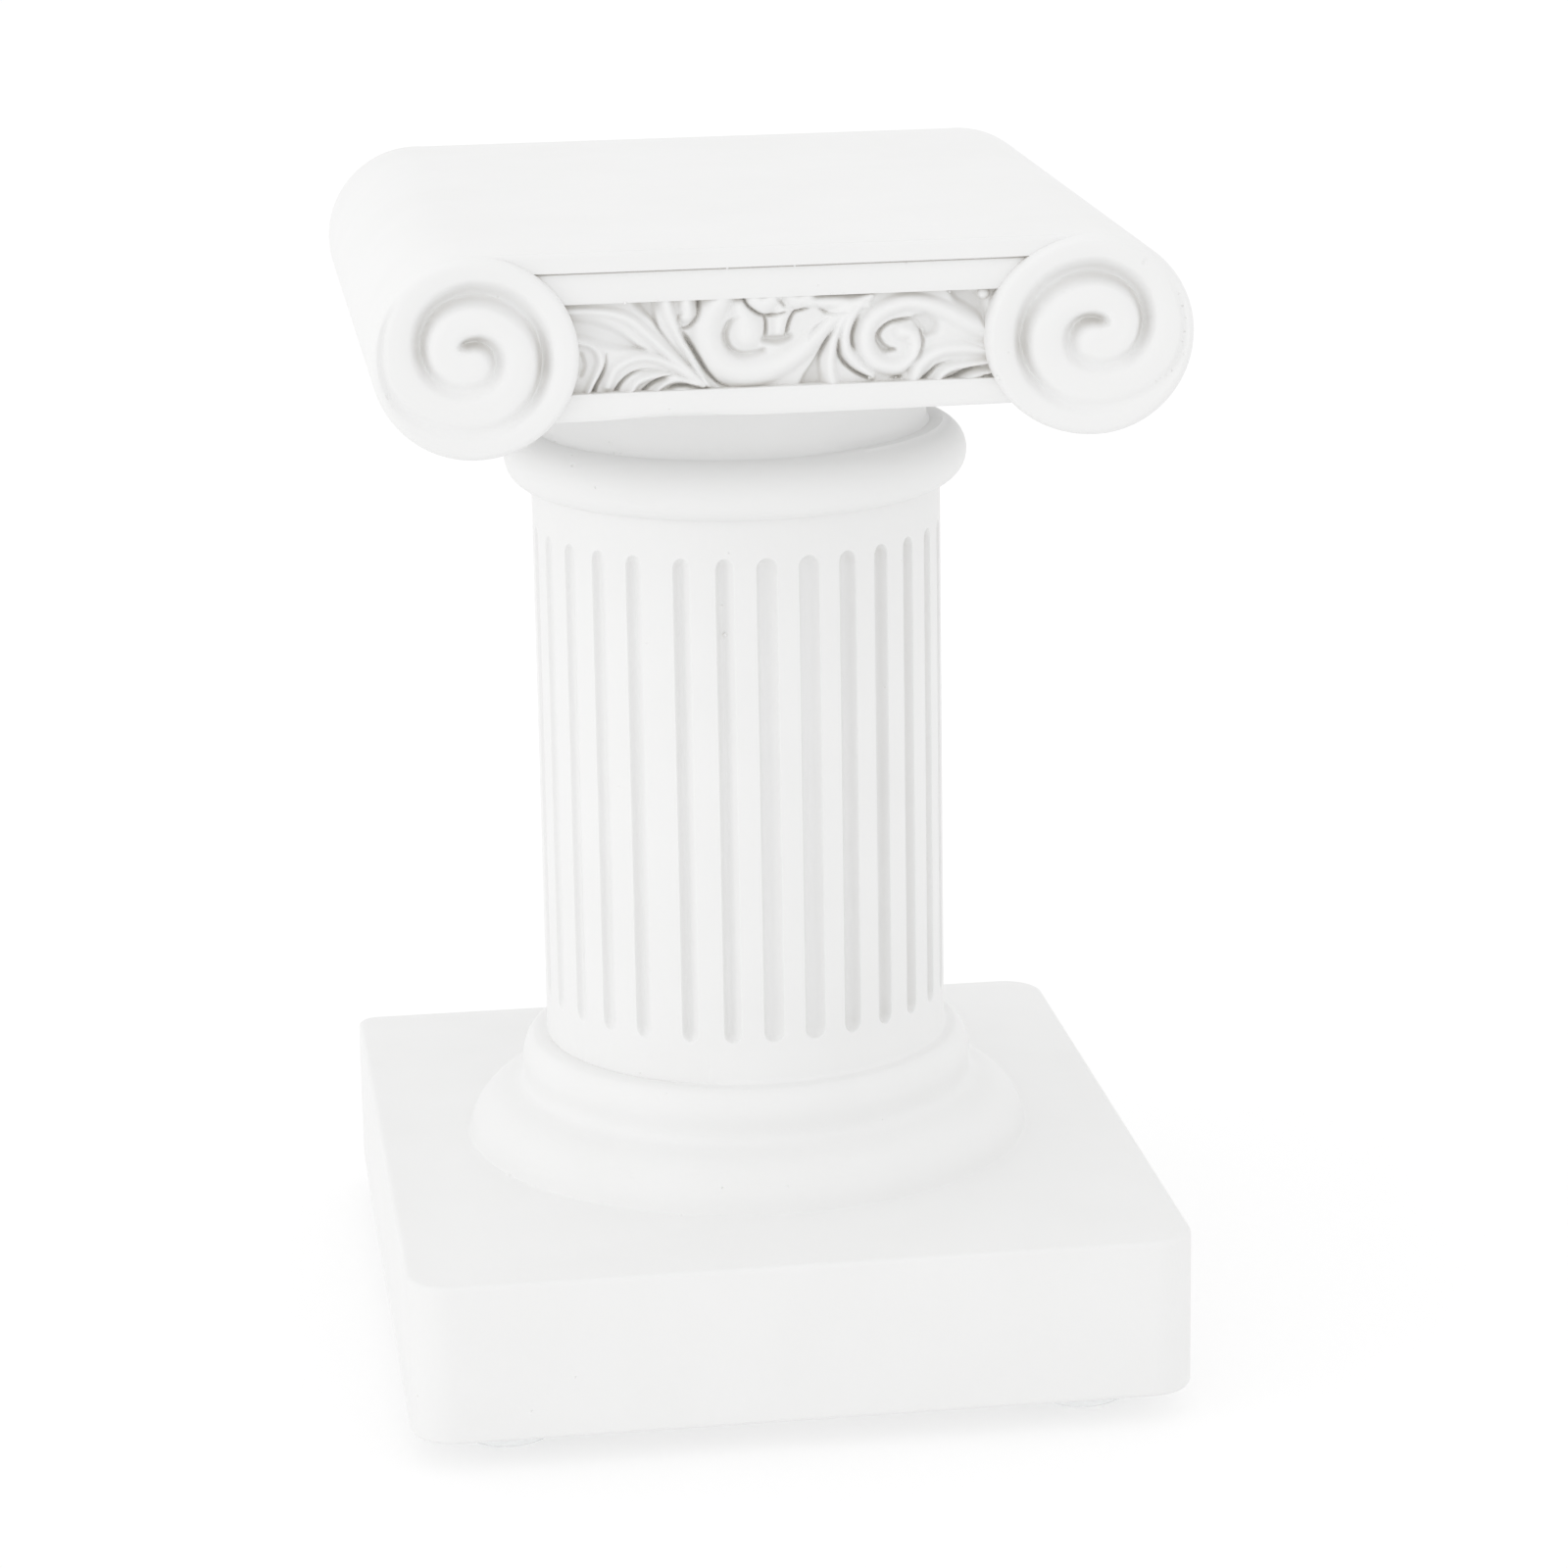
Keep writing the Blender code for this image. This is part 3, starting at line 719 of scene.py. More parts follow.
@dataclass
class NeckRing:
    """The half-round ring above the shaft and the plain neck over it."""

    bottom_z: float
    top_z: float
    shaft_radius: float
    ring_radius: float = 24.2
    tube: float = 3.05
    neck_radius: float = 20.3
    neck_stray: float = -0.25
    cove: float = 0.9
    cove_sink: float = 0.55
    cove_rise: float = 0.85
    cove_start: float = 238.0
    cove_steps: int = 6
    bead: float = 0.16
    bead_row: float = 0.02
    ring_steps: int = 24
    round_steps: int = 120
    buried: float = 2.0

    # Where the bead at the neck's foot is raised, by the turn to the right from the front
    bead_turns: Curve = ((-180, 0), (15, 0), (30, 1), (80, 1), (100, 0), (180, 0))

    def build(self) -> bpy.types.Object:
        """Spins the outline.

        Returns:
            The ring and neck as a solid that reaches into the shaft and the capital.
        """
        middle = self.ring_radius - self.tube
        first = -math.degrees(math.acos((self.shaft_radius - middle) / self.tube))
        last = math.degrees(math.acos((self.neck_radius + self.cove_sink * self.cove - middle) / self.tube))
        centre = (middle, self.bottom_z + self.tube)
        ring = arc(centre, self.tube, first, last, self.ring_steps)
        cove_centre = (self.neck_radius + self.cove, ring[-1][1] + self.cove_rise * self.cove)
        ring += arc(cove_centre, self.cove, self.cove_start, 180, self.cove_steps)
        inner, foot = self.shaft_radius - self.buried, ring[0][1] - self.buried
        head = self.top_z + self.buried
        outline = [(0, foot), (inner, foot), (inner, ring[0][1])] + ring
        outline += [(self.neck_radius, head), (0, head)]
        solid = turned("neck ring", outline, self.round_steps)
        points = points_of(solid)
        away = np.hypot(points[:, 0], points[:, 1])
        neck = (points[:, 2] > centre[1]) & (away < self.neck_radius + self.cove)
        raised = read_off(turns_of(points), self.bead_turns) * self.bead
        row = np.abs(points[:, 2] - ring[-self.cove_steps - 1][1]) < self.bead_row
        points[row, :2] *= (1 + raised[row] / away[row])[:, None]
        points[row, 2] += raised[row]
        points[neck, 0] += self.neck_stray
        move_points(solid, points)
        return solid


@dataclass
class FlutedShaft:
    """The straight shaft with its round-ended flutes, and one wider space at the mould seam."""

    bottom_z: float
    top_z: float
    radius: float
    flutes: int = 30
    width: float = 2.15
    top_margin: float = 4.0
    bottom_margin: float = 4.5
    seam_angle: float = -30.1
    seam_pitch: float = 14.15
    fullness: float = 0.55
    lip: float = 0.07
    lip_samples: int = 60
    samples: int = 601
    sampled_width: float = 1.5
    end_length: float = 1.12
    end_width: float = 0.05
    lands: int = 2
    buried: float = 1.5

    # Depth of the flutes and how much they lean to the left, by their turn to the right from the front
    depths: Curve = (
        (-180, 0.9), (-75, 0.8), (-50, 1.1), (-25, 1.45), (-12, 1.5), (0, 1.4), (12, 1.2), (22, 0.9),
        (60, 0.8), (180, 0.9),
    )
    leans: Curve = (
        (-180, 0.3), (-75, 0.95), (-25, 0.95), (-12, 0.85), (0, 0.5), (10, 0.2), (20, -0.6), (30, -0.95),
        (60, -0.8), (180, 0.3),
    )

    # Width of the flutes as a share of the full one, and which edge stays where it is, by the same turn
    spans: Curve = (
        (-180, 0.9), (-60, 0.82), (-10, 0.84), (5, 1), (15, 1), (28, 0.85), (45, 0.8), (75, 0.75), (180, 0.9),
    )
    holds: Curve = ((-180, 1), (-10, 1), (5, 0), (15, 0), (28, -1), (90, -1), (180, 1))

    # Distances of the columns of faces from a flute's middle and of the rows of faces from the middle of its
    # round ends, as shares of its half-width
    grid: tuple[float, ...] = (0, 0.24, 0.46, 0.64, 0.78, 0.88, 0.95, 1.01, 1.08, 1.2)

    def section(self, away: np.ndarray) -> np.ndarray:
        """Depth of a plain flute at a distance from its middle line, as a share of its full depth.

        Args:
            away: The distances, in millimetres.

        Returns:
            The shares, with soft lips.
        """
        fine = np.linspace(-self.sampled_width, self.sampled_width, self.samples) * self.width / 2
        raw = np.clip(1 - (2 * fine / self.width) ** 2, 0, 1) ** self.fullness
        step = fine[1] - fine[0]
        spread = np.exp(-((np.arange(-self.lip_samples, self.lip_samples + 1) * step / self.lip) ** 2))
        soft = np.convolve(raw, spread / spread.sum(), mode="same")
        soft[np.abs(fine) > self.width / 2 + 2 * self.lip] = 0
        return np.interp(away, fine, soft)

    def build(self) -> bpy.types.Object:
        """A cylinder that is cut into rows in edit mode, whose points are then pressed in as flutes.

        Returns:
            The shaft as a solid that reaches into the ring and the mouldings.
        """
        half = self.width / 2
        each = 2 * len(self.grid) - 1 + self.lands
        low, high = self.bottom_z - self.buried, self.top_z + self.buried
        ends = (self.bottom_z + self.bottom_margin + half, self.top_z - self.top_margin - half)
        bpy.ops.mesh.primitive_cylinder_add(
            vertices=each * self.flutes,
            radius=self.radius * MM,
            depth=(high - low) * MM,
            location=(0, 0, (low + high) / 2 * MM),
        )
        shaft = newest("fluted shaft")
        bpy.ops.object.transform_apply(location=True, rotation=True, scale=True)
        levels = [ends[0] - half * row for row in self.grid] + [ends[1] + half * row for row in self.grid]
        with editing(shaft):
            for level in levels:
                bpy.ops.mesh.select_all(action="SELECT")
                bpy.ops.mesh.bisect(plane_co=(0, 0, level * MM), plane_no=(0, 0, 1), threshold=WELD)
        move_points(shaft, self.pressed(points_of(shaft), each, ends))
        return shaft

    def pressed(self, points: np.ndarray, each: int, ends: Point) -> np.ndarray:
        """Moves the cylinder's points to the flutes.

        Args:
            points: The points of the plain cylinder.
            each: Number of columns for one flute and its land.
            ends: Heights of the middles of a flute's two round ends.

        Returns:
            The points of the fluted shaft.
        """
        half = self.width / 2
        count = each * self.flutes
        index = np.rint(turns_of(points) / (360 / count)).astype(int) % count
        flute, column = index // each, index % each
        pitch = (360 - self.seam_pitch) / (self.flutes - 1)
        middle = self.seam_angle + self.seam_pitch / 2 + pitch * flute
        width_of_land = np.where(flute == self.flutes - 1, self.seam_pitch, pitch)
        z = points[:, 2]
        past = np.clip(np.maximum(ends[0] - z, z - ends[1]), 0, half * self.grid[-1])
        squeeze = np.sqrt(np.maximum(1 - (past / (half * self.end_length)) ** 2, self.end_width))
        spread = np.array([-c for c in reversed(self.grid[1:])] + list(self.grid))
        inside = column < len(spread)
        offset = np.where(inside, spread[np.minimum(column, len(spread) - 1)] * half * squeeze, 0)
        facing = (middle + 180) % 360 - 180
        span = read_off(facing, self.spans)
        shift = (1 - span) * half * read_off(facing, self.holds)
        edge = math.degrees(half * self.grid[-1] / self.radius)
        land = (column - len(spread) + 1) / (self.lands + 1)
        angle = np.where(
            inside,
            middle + np.degrees((offset * span + shift) / self.radius),
            middle + edge + land * (width_of_land - 2 * edge),
        )
        away = np.hypot(offset, np.where(inside, np.maximum(np.maximum(ends[0] - z, z - ends[1]), 0), 0))
        lean = read_off(facing, self.leans) * np.clip(offset / half + 1, 0, 2) / 2
        depth = read_off(facing, self.depths) * (1 - lean) * self.section(away)
        radius = self.radius - np.where(inside, depth, 0)
        turn = np.radians(angle)
        return np.stack([radius * np.sin(turn), -radius * np.cos(turn), z], 1)


@dataclass
class Volute:
    """The scrolled end of a roll: a round disc with a spiral groove that opens from the eye."""

    hand: Hand
    side: Side
    axis_x: float
    axis_z: float
    radius: float
    face: float
    proud: float = 1.0
    rim_width: float = 0.8
    rim_swing: float = 0.15
    rim_drop: float = 0.1
    back: float = 3.0
    skin: float = 0.5
    seat_gap: float = 0.4
    seat_steps: int = 48
    core_share: float = 0.78
    core_power: float = 0.9
    soft_spread: float = 1.9
    widest: float = 1.5
    turn_start: float = 131.0
    turn_end: float = 717.0
    turn_step: float = 4.0
    blur: int = 5

    # On the front and on the back: distance of the rings of faces, points of the rim, faces round the axis
    ring_step: Point = (0.165, 0.34)
    rim_points: tuple[int, int] = (10, 6)
    round_steps: tuple[int, int] = (184, 96)

    # How much longer than round the front volutes reach towards the frieze, left and right
    stretches: Point = (0.035, 0.09)

    # Radius of the spiral, half-width of its groove, how much wider its outer slope is, and its depth,
    # by the angle turned from the eye
    path: Curve = (
        (0, 1.7), (25, 1.5), (60, 1.6), (110, 1.95), (150, 2.25), (185, 2.7), (225, 2.95), (265, 3.6),
        (290, 4.3), (330, 5.25), (362, 5.85), (400, 6.1), (440, 6.25), (490, 6.5), (530, 6.8), (560, 7.0),
        (590, 7.0), (615, 7.35), (635, 8.1), (650, 8.55), (675, 8.75), (700, 9.0), (717, 9.3),
    )
    widths: Curve = (
        (0, 0.5), (25, 0.85), (60, 0.95), (110, 1.0), (150, 0.95), (330, 0.95), (370, 1.1), (400, 1.25),
        (440, 1.3), (470, 1.1), (490, 0.95), (560, 0.9), (620, 0.9), (650, 0.6), (717, 0.45),
    )
    spreads: Curve = (
        (0, 1), (90, 1.1), (130, 1.15), (185, 1), (300, 1.1), (350, 1.3), (400, 1.35), (450, 1.2), (500, 1.1),
        (540, 1),
    )
    depths: Curve = (
        (0, 0.9), (15, 1.7), (60, 2.0), (110, 1.75), (150, 1.4), (185, 0.9), (225, 0.6), (265, 0.75),
        (290, 1.3), (315, 1.9), (400, 2.25), (430, 2.05), (455, 1.85), (480, 2.05), (500, 2.1), (515, 1.7),
        (540, 0.95), (562, 0.5), (590, 0.32), (620, 0.32), (650, 0.4), (690, 0.35), (705, 0.2), (717, 0),
    )

    def profile(self, behind: bool) -> list[Point]:
        """The disc's outline from its middle to its back.

        Args:
            behind: Whether it is a disc of the back, with larger faces.

        Returns:
            Points as radius and distance from the capital's middle.
        """
        front = self.face + self.proud
        flat = self.radius - self.rim_width
        rings = round(flat / self.ring_step[behind])
        line = [(r, front) for r in np.linspace(0, flat, rings, endpoint=False)]
        fall = self.proud + self.rim_drop
        for turn in np.radians(np.linspace(90, 0, self.rim_points[behind])):
            line.append((flat + self.rim_width * math.cos(turn), front - fall * (1 - math.sin(turn))))
        return line + [(self.radius, self.face - self.back), (0, self.face - self.back)]

    def groove(self, points: np.ndarray) -> np.ndarray:
        """Depth of the spiral groove at places on the disc.

        Args:
            points: Places from the middle, seen from the front, on the left volute.

        Returns:
            The depth at each place.
        """
        turn = np.arange(0, self.turn_end, self.turn_step)
        window = np.hanning(2 * self.blur + 1)
        padded = np.pad(read_off(turn, self.path), self.blur, mode="edge")
        radius = np.convolve(padded, window / window.sum(), mode="valid")
        angle = np.radians(self.turn_start - turn)
        line = np.stack([radius * np.cos(angle), radius * np.sin(angle)], 1)
        widths = read_off(turn, self.widths)
        share, along = nearness(points, line, widths, self.soft_spread * self.widest)
        reached = along * turn[-1]
        outside = np.linalg.norm(points, axis=1) > np.interp(reached, turn, radius)
        share = np.where(outside, share / read_off(reached, self.spreads), share)
        core = smooth_drop(share) ** self.core_power
        soft = smooth_drop(share / self.soft_spread)
        return read_off(reached, self.depths) * (self.core_share * core + (1 - self.core_share) * soft)

    def rimmed(self, seen: np.ndarray) -> np.ndarray:
        """Makes the rim's rounding wider on the side away from the frieze.

        Args:
            seen: Places from the middle, seen from the front, on the left volute.

        Returns:
            The places with the rounding of their own direction.
        """
        away = np.maximum(np.linalg.norm(seen, axis=1), WELD)
        width = self.rim_width - self.rim_swing * seen[:, 0] / away
        flat = self.radius - self.rim_width
        inner = away * (self.radius - width) / flat
        outer = self.radius - width + (away - flat) / self.rim_width * width
        return seen * (np.where(away < flat, inner, outer) / away)[:, None]

    def seat(self) -> bpy.types.Object:
        """The room that is cut in the roll's end for the disc.

        Returns:
            A cutter, a little smaller than the disc.
        """
        middle = self.side.value * self.face
        bpy.ops.mesh.primitive_cylinder_add(
            vertices=self.seat_steps,
            radius=(self.radius - self.seat_gap) * MM,
            depth=2 * (self.back - self.skin) * MM,
            location=(self.hand.value * self.axis_x * MM, middle * MM, self.axis_z * MM),
            rotation=(math.pi / 2, 0, 0),
        )
        cutter = newest("seat")
        bpy.ops.object.transform_apply(location=True, rotation=True, scale=True)
        return cutter

    def build(self) -> bpy.types.Object:
        """Spins the disc and presses the groove into its face.

        Returns:
            The volute as a solid that reaches into the roll.
        """
        across, out, behind = self.hand.value, self.side.value, self.side is Side.BACK
        centre = (across * self.axis_x, 0, self.axis_z)
        line = [(centre[0] + r, out * y, self.axis_z) for r, y in self.profile(behind)]
        disc = drawn("volute", line, face=False)
        spun(disc, self.round_steps[behind], (0, 1, 0), centre)
        points = points_of(disc)
        from_middle = points[:, [0, 2]] - np.array([centre[0], self.axis_z])
        seen = from_middle * np.array([-across, 1])
        front = np.abs(points[:, 1]) > self.face - self.skin
        seen[front] = self.rimmed(seen[front])
        points[front, 0] = centre[0] - across * seen[front, 0]
        points[front, 2] = centre[2] + seen[front, 1]
        points[front, 1] -= out * self.groove(seen[front])
        stretch = 0 if behind else self.stretches[self.hand is Hand.RIGHT]
        points[:, 0] -= across * stretch * np.maximum(seen[:, 0], 0)
        move_points(disc, points)
        return disc


@dataclass(frozen=True)
class Stroke:
    """One line of the carving: its course, its half-widths and its heights or depths along it."""

    course: tuple[Point, ...]
    widths: tuple[float, ...]
    heights: tuple[float, ...]
    thin: float = 0.6
    full: float = 1.2

    def profile(self, places: np.ndarray, power: float, spread: float) -> np.ndarray:
        """Its height over a sheet.

        Args:
            places: The places of the sheet.
            power: How full the section is, less for a fuller one.
            spread: How much wider its thin places are made.

        Returns:
            The height at each place, nothing outside the stroke.
        """
        line, widths = flowing(self.course, self.widths)
        widths = widths * np.interp(widths, (self.thin, self.full), (spread, 1))
        share, along = nearness(places, line, widths)
        height = np.interp(along, np.linspace(0, 1, len(self.heights)), self.heights)
        return height * smooth_drop(share) ** power


@dataclass
class Frieze:
    """The band of carving between two volutes: scrolls, leaves and blades over a sunk bed."""

    side: Side
    bed: float
    bottom: float
    top: float
    half: float = 24.6
    cell: float = 0.105
    coarse: float = 2.4
    margin: float = 0.3
    back: float = 1.0
    base: float = 0.5
    lowest: float = -0.05
    lift: float = 0.68
    rise: float = 1.62
    soften: float = 0.085
    soften_cells: int = 3
    plump: float = 1.15
    fine_cut: float = 0.5
    round_power: float = 0.38
    leaf_power: float = 0.5
    cut_power: float = 1.0
    merge: int = 8

    # The carving is drawn with z measured from this height
    level: float = 103.0

    scrolls: tuple[Stroke, ...] = (
        Stroke(((-6.0, 13.6), (-7.3, 11.6), (-7.5, 9.8), (-6.9, 8.1), (-5.7, 6.8), (-4.0, 6.2), (-2.1, 6.3),
            (-0.2, 7.0), (1.6, 8.1), (3.2, 9.6), (4.7, 11.1), (6.4, 12.3), (8.4, 13.2)), (1.5, 1.9, 1.9,
            1.9, 2.0, 2.0, 1.9, 1.7, 1.5, 1.3, 1.1, 0.9, 0.6), (1.08, 1.08, 1.05, 1.0)),
        Stroke(((-3.5, 9.9), (-3.6, 10.6), (-3.8, 11.5), (-4.3, 12.6)), (1.9, 1.9, 1.5, 1.2), (1.08, 1.0)),
        Stroke(((22.5, 8.6), (18.6, 9.9), (16.2, 11.2), (14, 12.1), (12, 12.4), (10, 11.9), (8.6, 10.9),
            (7.9, 9.4), (8.1, 7.8), (9.1, 6.6), (10.8, 6.1), (12.2, 6.8), (12.8, 8.1), (12.4, 9.3),
            (11.5, 9.6)), (1.6, 1.4, 1.3, 1.2, 1.2, 1.2, 1.15, 1.1, 1.15, 1.2, 1.1, 0.9, 0.8, 0.9, 1.2),
            (1.0, 1.08, 1.08, 1.08, 1.05, 1.08)),
    )
    leaves: tuple[Stroke, ...] = (
        Stroke(((-21.4, 10.0), (-20.0, 9.85), (-18.8, 9.5), (-18.0, 8.7), (-17.85, 7.6), (-18.35, 6.4),
            (-19.1, 4.8)), (0.55, 0.65, 0.7, 0.65, 0.65, 0.6), (0.85, 0.95, 1.0, 0.95)),
        Stroke(((-22.0, 12.8), (-17.9, 12.6), (-15.2, 11.9), (-13.3, 10.3), (-11.5, 8.55), (-9.7, 6.9),
            (-8.2, 5.4)), (0.8, 0.8, 0.95, 0.85, 0.7, 0.6, 0.45), (0.75, 0.85, 1.0, 1.02, 0.95, 0.9)),
        Stroke(((-17.2, 5.4), (-16.4, 7.0), (-14.8, 7.9), (-13.1, 8.0), (-11.3, 7.35), (-9.6, 6.3),
            (-7.9, 5.1)), (0.8, 0.85, 0.75, 0.65, 0.55, 0.45), (0.85, 0.95, 1.0, 0.95, 0.9)),
        Stroke(((-15.1, 4.5), (-14.4, 5.6), (-13.2, 6.1), (-11.8, 6.25), (-10.3, 5.9), (-8.7, 5.2)), (0.65,
            0.6, 0.45, 0.4), (0.95, 0.95, 0.9)),
        Stroke(((-12.7, 4.5), (-11.8, 5.3), (-10.7, 5.7), (-9.2, 5.5), (-8.0, 5.0)), (0.5, 0.45, 0.4),
            (0.9, 0.9)),
        Stroke(((-11.4, 4.5), (-9.9, 4.7), (-8.2, 4.4)), (0.5, 0.55, 0.45), (0.95, 0.95)),
        Stroke(((-11.5, 13.7), (-11.2, 12.3), (-10.7, 11.0), (-9.95, 9.5), (-9.15, 8.0), (-8.4, 6.6),
            (-7.4, 5.0)), (1.1, 1.0, 0.85, 0.7, 0.55, 0.45, 0.35), (1.06, 1.06, 1.0, 0.95)),
        Stroke(((-9.45, 11.9), (-9.4, 12.6), (-9.5, 13.7)), (1.05, 1.1, 1.1), (1.06, 1.08)),
        Stroke(((4.7, 4.4), (4.4, 6.4), (4.6, 8.4), (5.2, 10.2), (6.5, 12.0)), (1.1, 0.95, 0.8, 0.65, 0.6),
            (0.98, 1.0)),
        Stroke(((8.4, 5.4), (6.9, 6.7), (6.0, 8.1), (5.95, 9.8), (6.6, 11.4), (7.6, 12.6)), (0.7, 0.85, 0.8,
            0.75, 0.6), (0.95, 1.0, 1.0)),
        Stroke(((12.4, 4.4), (13.3, 6.3), (14.9, 7.4), (17.0, 7.7), (22, 7.4)), (1.1, 1.2, 1.1, 1.0), (0.95,
            1.02, 0.98)),
        Stroke(((14.7, 4.4), (15.6, 5.4), (17.2, 5.95), (22, 6.4)), (0.75, 0.65, 0.6, 0.5), (0.95, 0.95)),
        Stroke(((17.2, 4.3), (18.8, 4.95), (22, 5.4)), (0.7, 0.75), (0.92, 0.92)),
    )
    petals: tuple[Stroke, ...] = (
        Stroke(((-2.9, 13.4), (-2.0, 12.9), (-1.2, 13.4)), (1.5, 1.6, 1.5), (1.05, 1.08)),
        Stroke(((0.6, 13.5), (1.4, 13.1), (2.3, 13.4)), (1.2, 1.4, 1.1), (1.0, 1.05)),
        Stroke(((2.4, 12.8), (5, 12.7), (8, 12.4)), (0.8, 0.95, 0.7), (0.95, 1.0)),
        Stroke(((-0.1, 12.2), (-0.4, 11.2), (-0.55, 10.2)), (1.2, 1.05, 0.8), (1.0, 1.08)),
    )
    cuts: tuple[Stroke, ...] = (
        Stroke(((-22.0, 11.5), (-18.9, 10.75), (-16.7, 9.95), (-14.8, 9.15), (-13.3, 8.6)), (1.4, 1.6, 1.35,
            0.85, 0.3), (0.55, 0.75, 0.9, 0.75, 0.2)),
        Stroke(((-17.3, 8.4), (-17.35, 7.5), (-17.75, 6.46), (-18.3, 5.5), (-18.7, 4.6)), (0.4, 0.35, 0.4,
            0.5), (0.2, 0.45, 0.8, 1.1)),
        Stroke(((-19.75, 8.5), (-19.55, 7.5), (-19.8, 6.5)), (0.7, 0.85, 0.7), (0.25, 0.32)),
        Stroke(((-13.5, 13.9), (-12.95, 12.5), (-12.4, 11.3), (-12.0, 10.5), (-11.2, 9.4), (-10.2, 8.2),
            (-9.2, 7.05)), (1.7, 1.0, 0.5, 0.35, 0.28, 0.25, 0.2), (0.75, 0.7, 0.5, 0.35, 0.25, 0.12)),
        Stroke(((-16.5, 4.6), (-15.95, 5.5), (-15.23, 6.2), (-14.25, 6.68), (-13.1, 6.75), (-11.8, 6.6)),
            (0.5, 0.42, 0.36, 0.3, 0.25, 0.2), (1.0, 0.8, 0.55, 0.3, 0.12)),
        Stroke(((-13.8, 4.7), (-12.97, 5.4), (-12.0, 5.93), (-10.87, 6.27)), (0.36, 0.36, 0.32, 0.2), (1.1,
            1.1, 0.9, 0.4)),
        Stroke(((-11.5, 4.8), (-10.7, 5.11), (-9.94, 5.18), (-9.0, 5.04), (-8.0, 4.7)), (0.22, 0.3, 0.3,
            0.25, 0.2), (0.3, 0.95, 0.95, 0.5, 0.2)),
        Stroke(((-8.25, 13.7), (-8.27, 12.17), (-8.75, 11.25), (-9.4, 10.72), (-10.1, 10.7)), (0.6, 0.42,
            0.4, 0.36), (0.6, 0.55, 0.45, 0.4)),
        Stroke(((-9.85, 12.3), (-10.25, 11.8), (-10.28, 11.3), (-10.0, 11.0)), (0.2, 0.28, 0.25), (0.15,
            0.35, 0.3)),
        Stroke(((-10.15, 10.7), (-9.56, 9.68), (-8.92, 8.67), (-8.27, 7.59), (-7.63, 6.52), (-6.98, 5.72),
            (-6.32, 5.12), (-5.4, 4.7)), (0.4, 0.7, 0.5, 0.42, 0.36, 0.3, 0.26, 0.2), (0.4, 0.6, 1.5, 1.7,
            1.4, 1.0, 0.7, 0.3)),
        Stroke(((-4.4, 11.6), (-5.2, 11.1), (-5.65, 10.2), (-5.67, 9.3), (-5.2, 8.43), (-4.27, 7.91),
            (-3.03, 7.96), (-1.98, 8.2)), (0.45, 0.7, 0.8, 0.8, 0.8, 0.75, 0.7), (0.1, 0.4, 0.52, 0.5, 0.4,
            0.34, 0.4)),
        Stroke(((-1.9, 9.3), (-1.1, 9.2), (-0.24, 9.2), (0.5, 9.45)), (0.8, 0.9, 0.8), (0.55, 0.6, 0.5)),
        Stroke(((-1.92, 11.63), (-1.74, 10.96), (-1.75, 10.29), (-1.86, 9.5)), (0.4, 0.42, 0.5), (0.55, 0.7,
            0.65)),
        Stroke(((1.13, 11.89), (0.84, 11.62), (0.45, 10.87), (0.24, 9.93), (0.14, 9.2)), (0.3, 0.36, 0.4),
            (0.5, 0.65, 0.6)),
        Stroke(((-4.0, 13.6), (-3.52, 12.65), (-2.77, 12.05), (-1.92, 11.63), (-0.87, 11.69),
            (0.08, 11.94)), (0.32, 0.34, 0.34, 0.3), (0.6, 0.6, 0.7, 0.5)),
        Stroke(((-0.7, 13.3), (0.05, 12.5)), (0.25, 0.32), (0.3, 0.5)),
        Stroke(((1.1, 11.9), (1.8, 12.06), (2.66, 12.22)), (0.32, 0.32, 0.22), (0.6, 0.55, 0.2)),
        Stroke(((2.86, 12.68), (3.52, 12.09), (4.18, 11.68), (5.04, 11.55), (6.1, 11.6)), (0.2, 0.34, 0.36,
            0.25), (0.15, 0.35, 0.4, 0.15)),
        Stroke(((2.3, 9.3), (2.8, 10.0), (3.6, 10.65), (4.4, 11.3)), (0.35, 0.5, 0.35), (0.2, 0.4, 0.2)),
        Stroke(((2.55, 4.3), (2.8, 5.6), (3.15, 6.9), (3.6, 8.0), (4.3, 9.25), (5.05, 10.3)), (1.5, 1.1,
            0.7, 0.42, 0.28, 0.2), (1.5, 1.5, 1.4, 0.9, 0.5, 0.2)),
        Stroke(((5.3, 9.1), (5.28, 7.81), (5.65, 6.93), (6.31, 6.23), (7.17, 5.62), (8.2, 5.15)), (0.2, 0.4,
            0.42, 0.38, 0.36, 0.3), (0.15, 0.7, 1.0, 0.9, 0.9, 1.2)),
        Stroke(((7.35, 11.4), (6.94, 10.42), (6.64, 9.48), (6.63, 8.52), (6.95, 7.7)), (0.25, 0.36, 0.4,
            0.38, 0.2), (0.15, 0.55, 0.8, 0.75, 0.1)),
        Stroke(((10.9, 7.75), (9.9, 7.85), (9.3, 8.55), (9.15, 9.25), (9.61, 9.94), (10.48, 10.48),
            (11.54, 10.68), (12.5, 10.75)), (0.4, 0.75, 0.7, 0.55, 0.42, 0.4, 0.4, 0.36), (0.3, 1.3, 1.2,
            0.9, 0.65, 0.6, 0.6, 0.5)),
        Stroke(((12.5, 10.78), (13.05, 9.99), (13.42, 9.11), (13.5, 8.25), (13.14, 7.2), (12.46, 6.46),
            (11.88, 5.6)), (0.36, 0.42, 0.5, 0.45, 0.42, 0.4, 0.36), (0.5, 0.55, 0.55, 0.4, 0.3, 0.22,
            0.2)),
        Stroke(((12.8, 10.8), (13.7, 10.4), (14.3, 9.9), (13.9, 9.2)), (0.7, 1.2, 1.2, 0.7), (0.6, 0.85,
            0.75)),
        Stroke(((16.4, 13.8), (17.5, 13.0), (18.6, 12.2), (19.3, 11.1), (19.6, 9.9)), (0.9, 1.3, 1.3, 0.9,
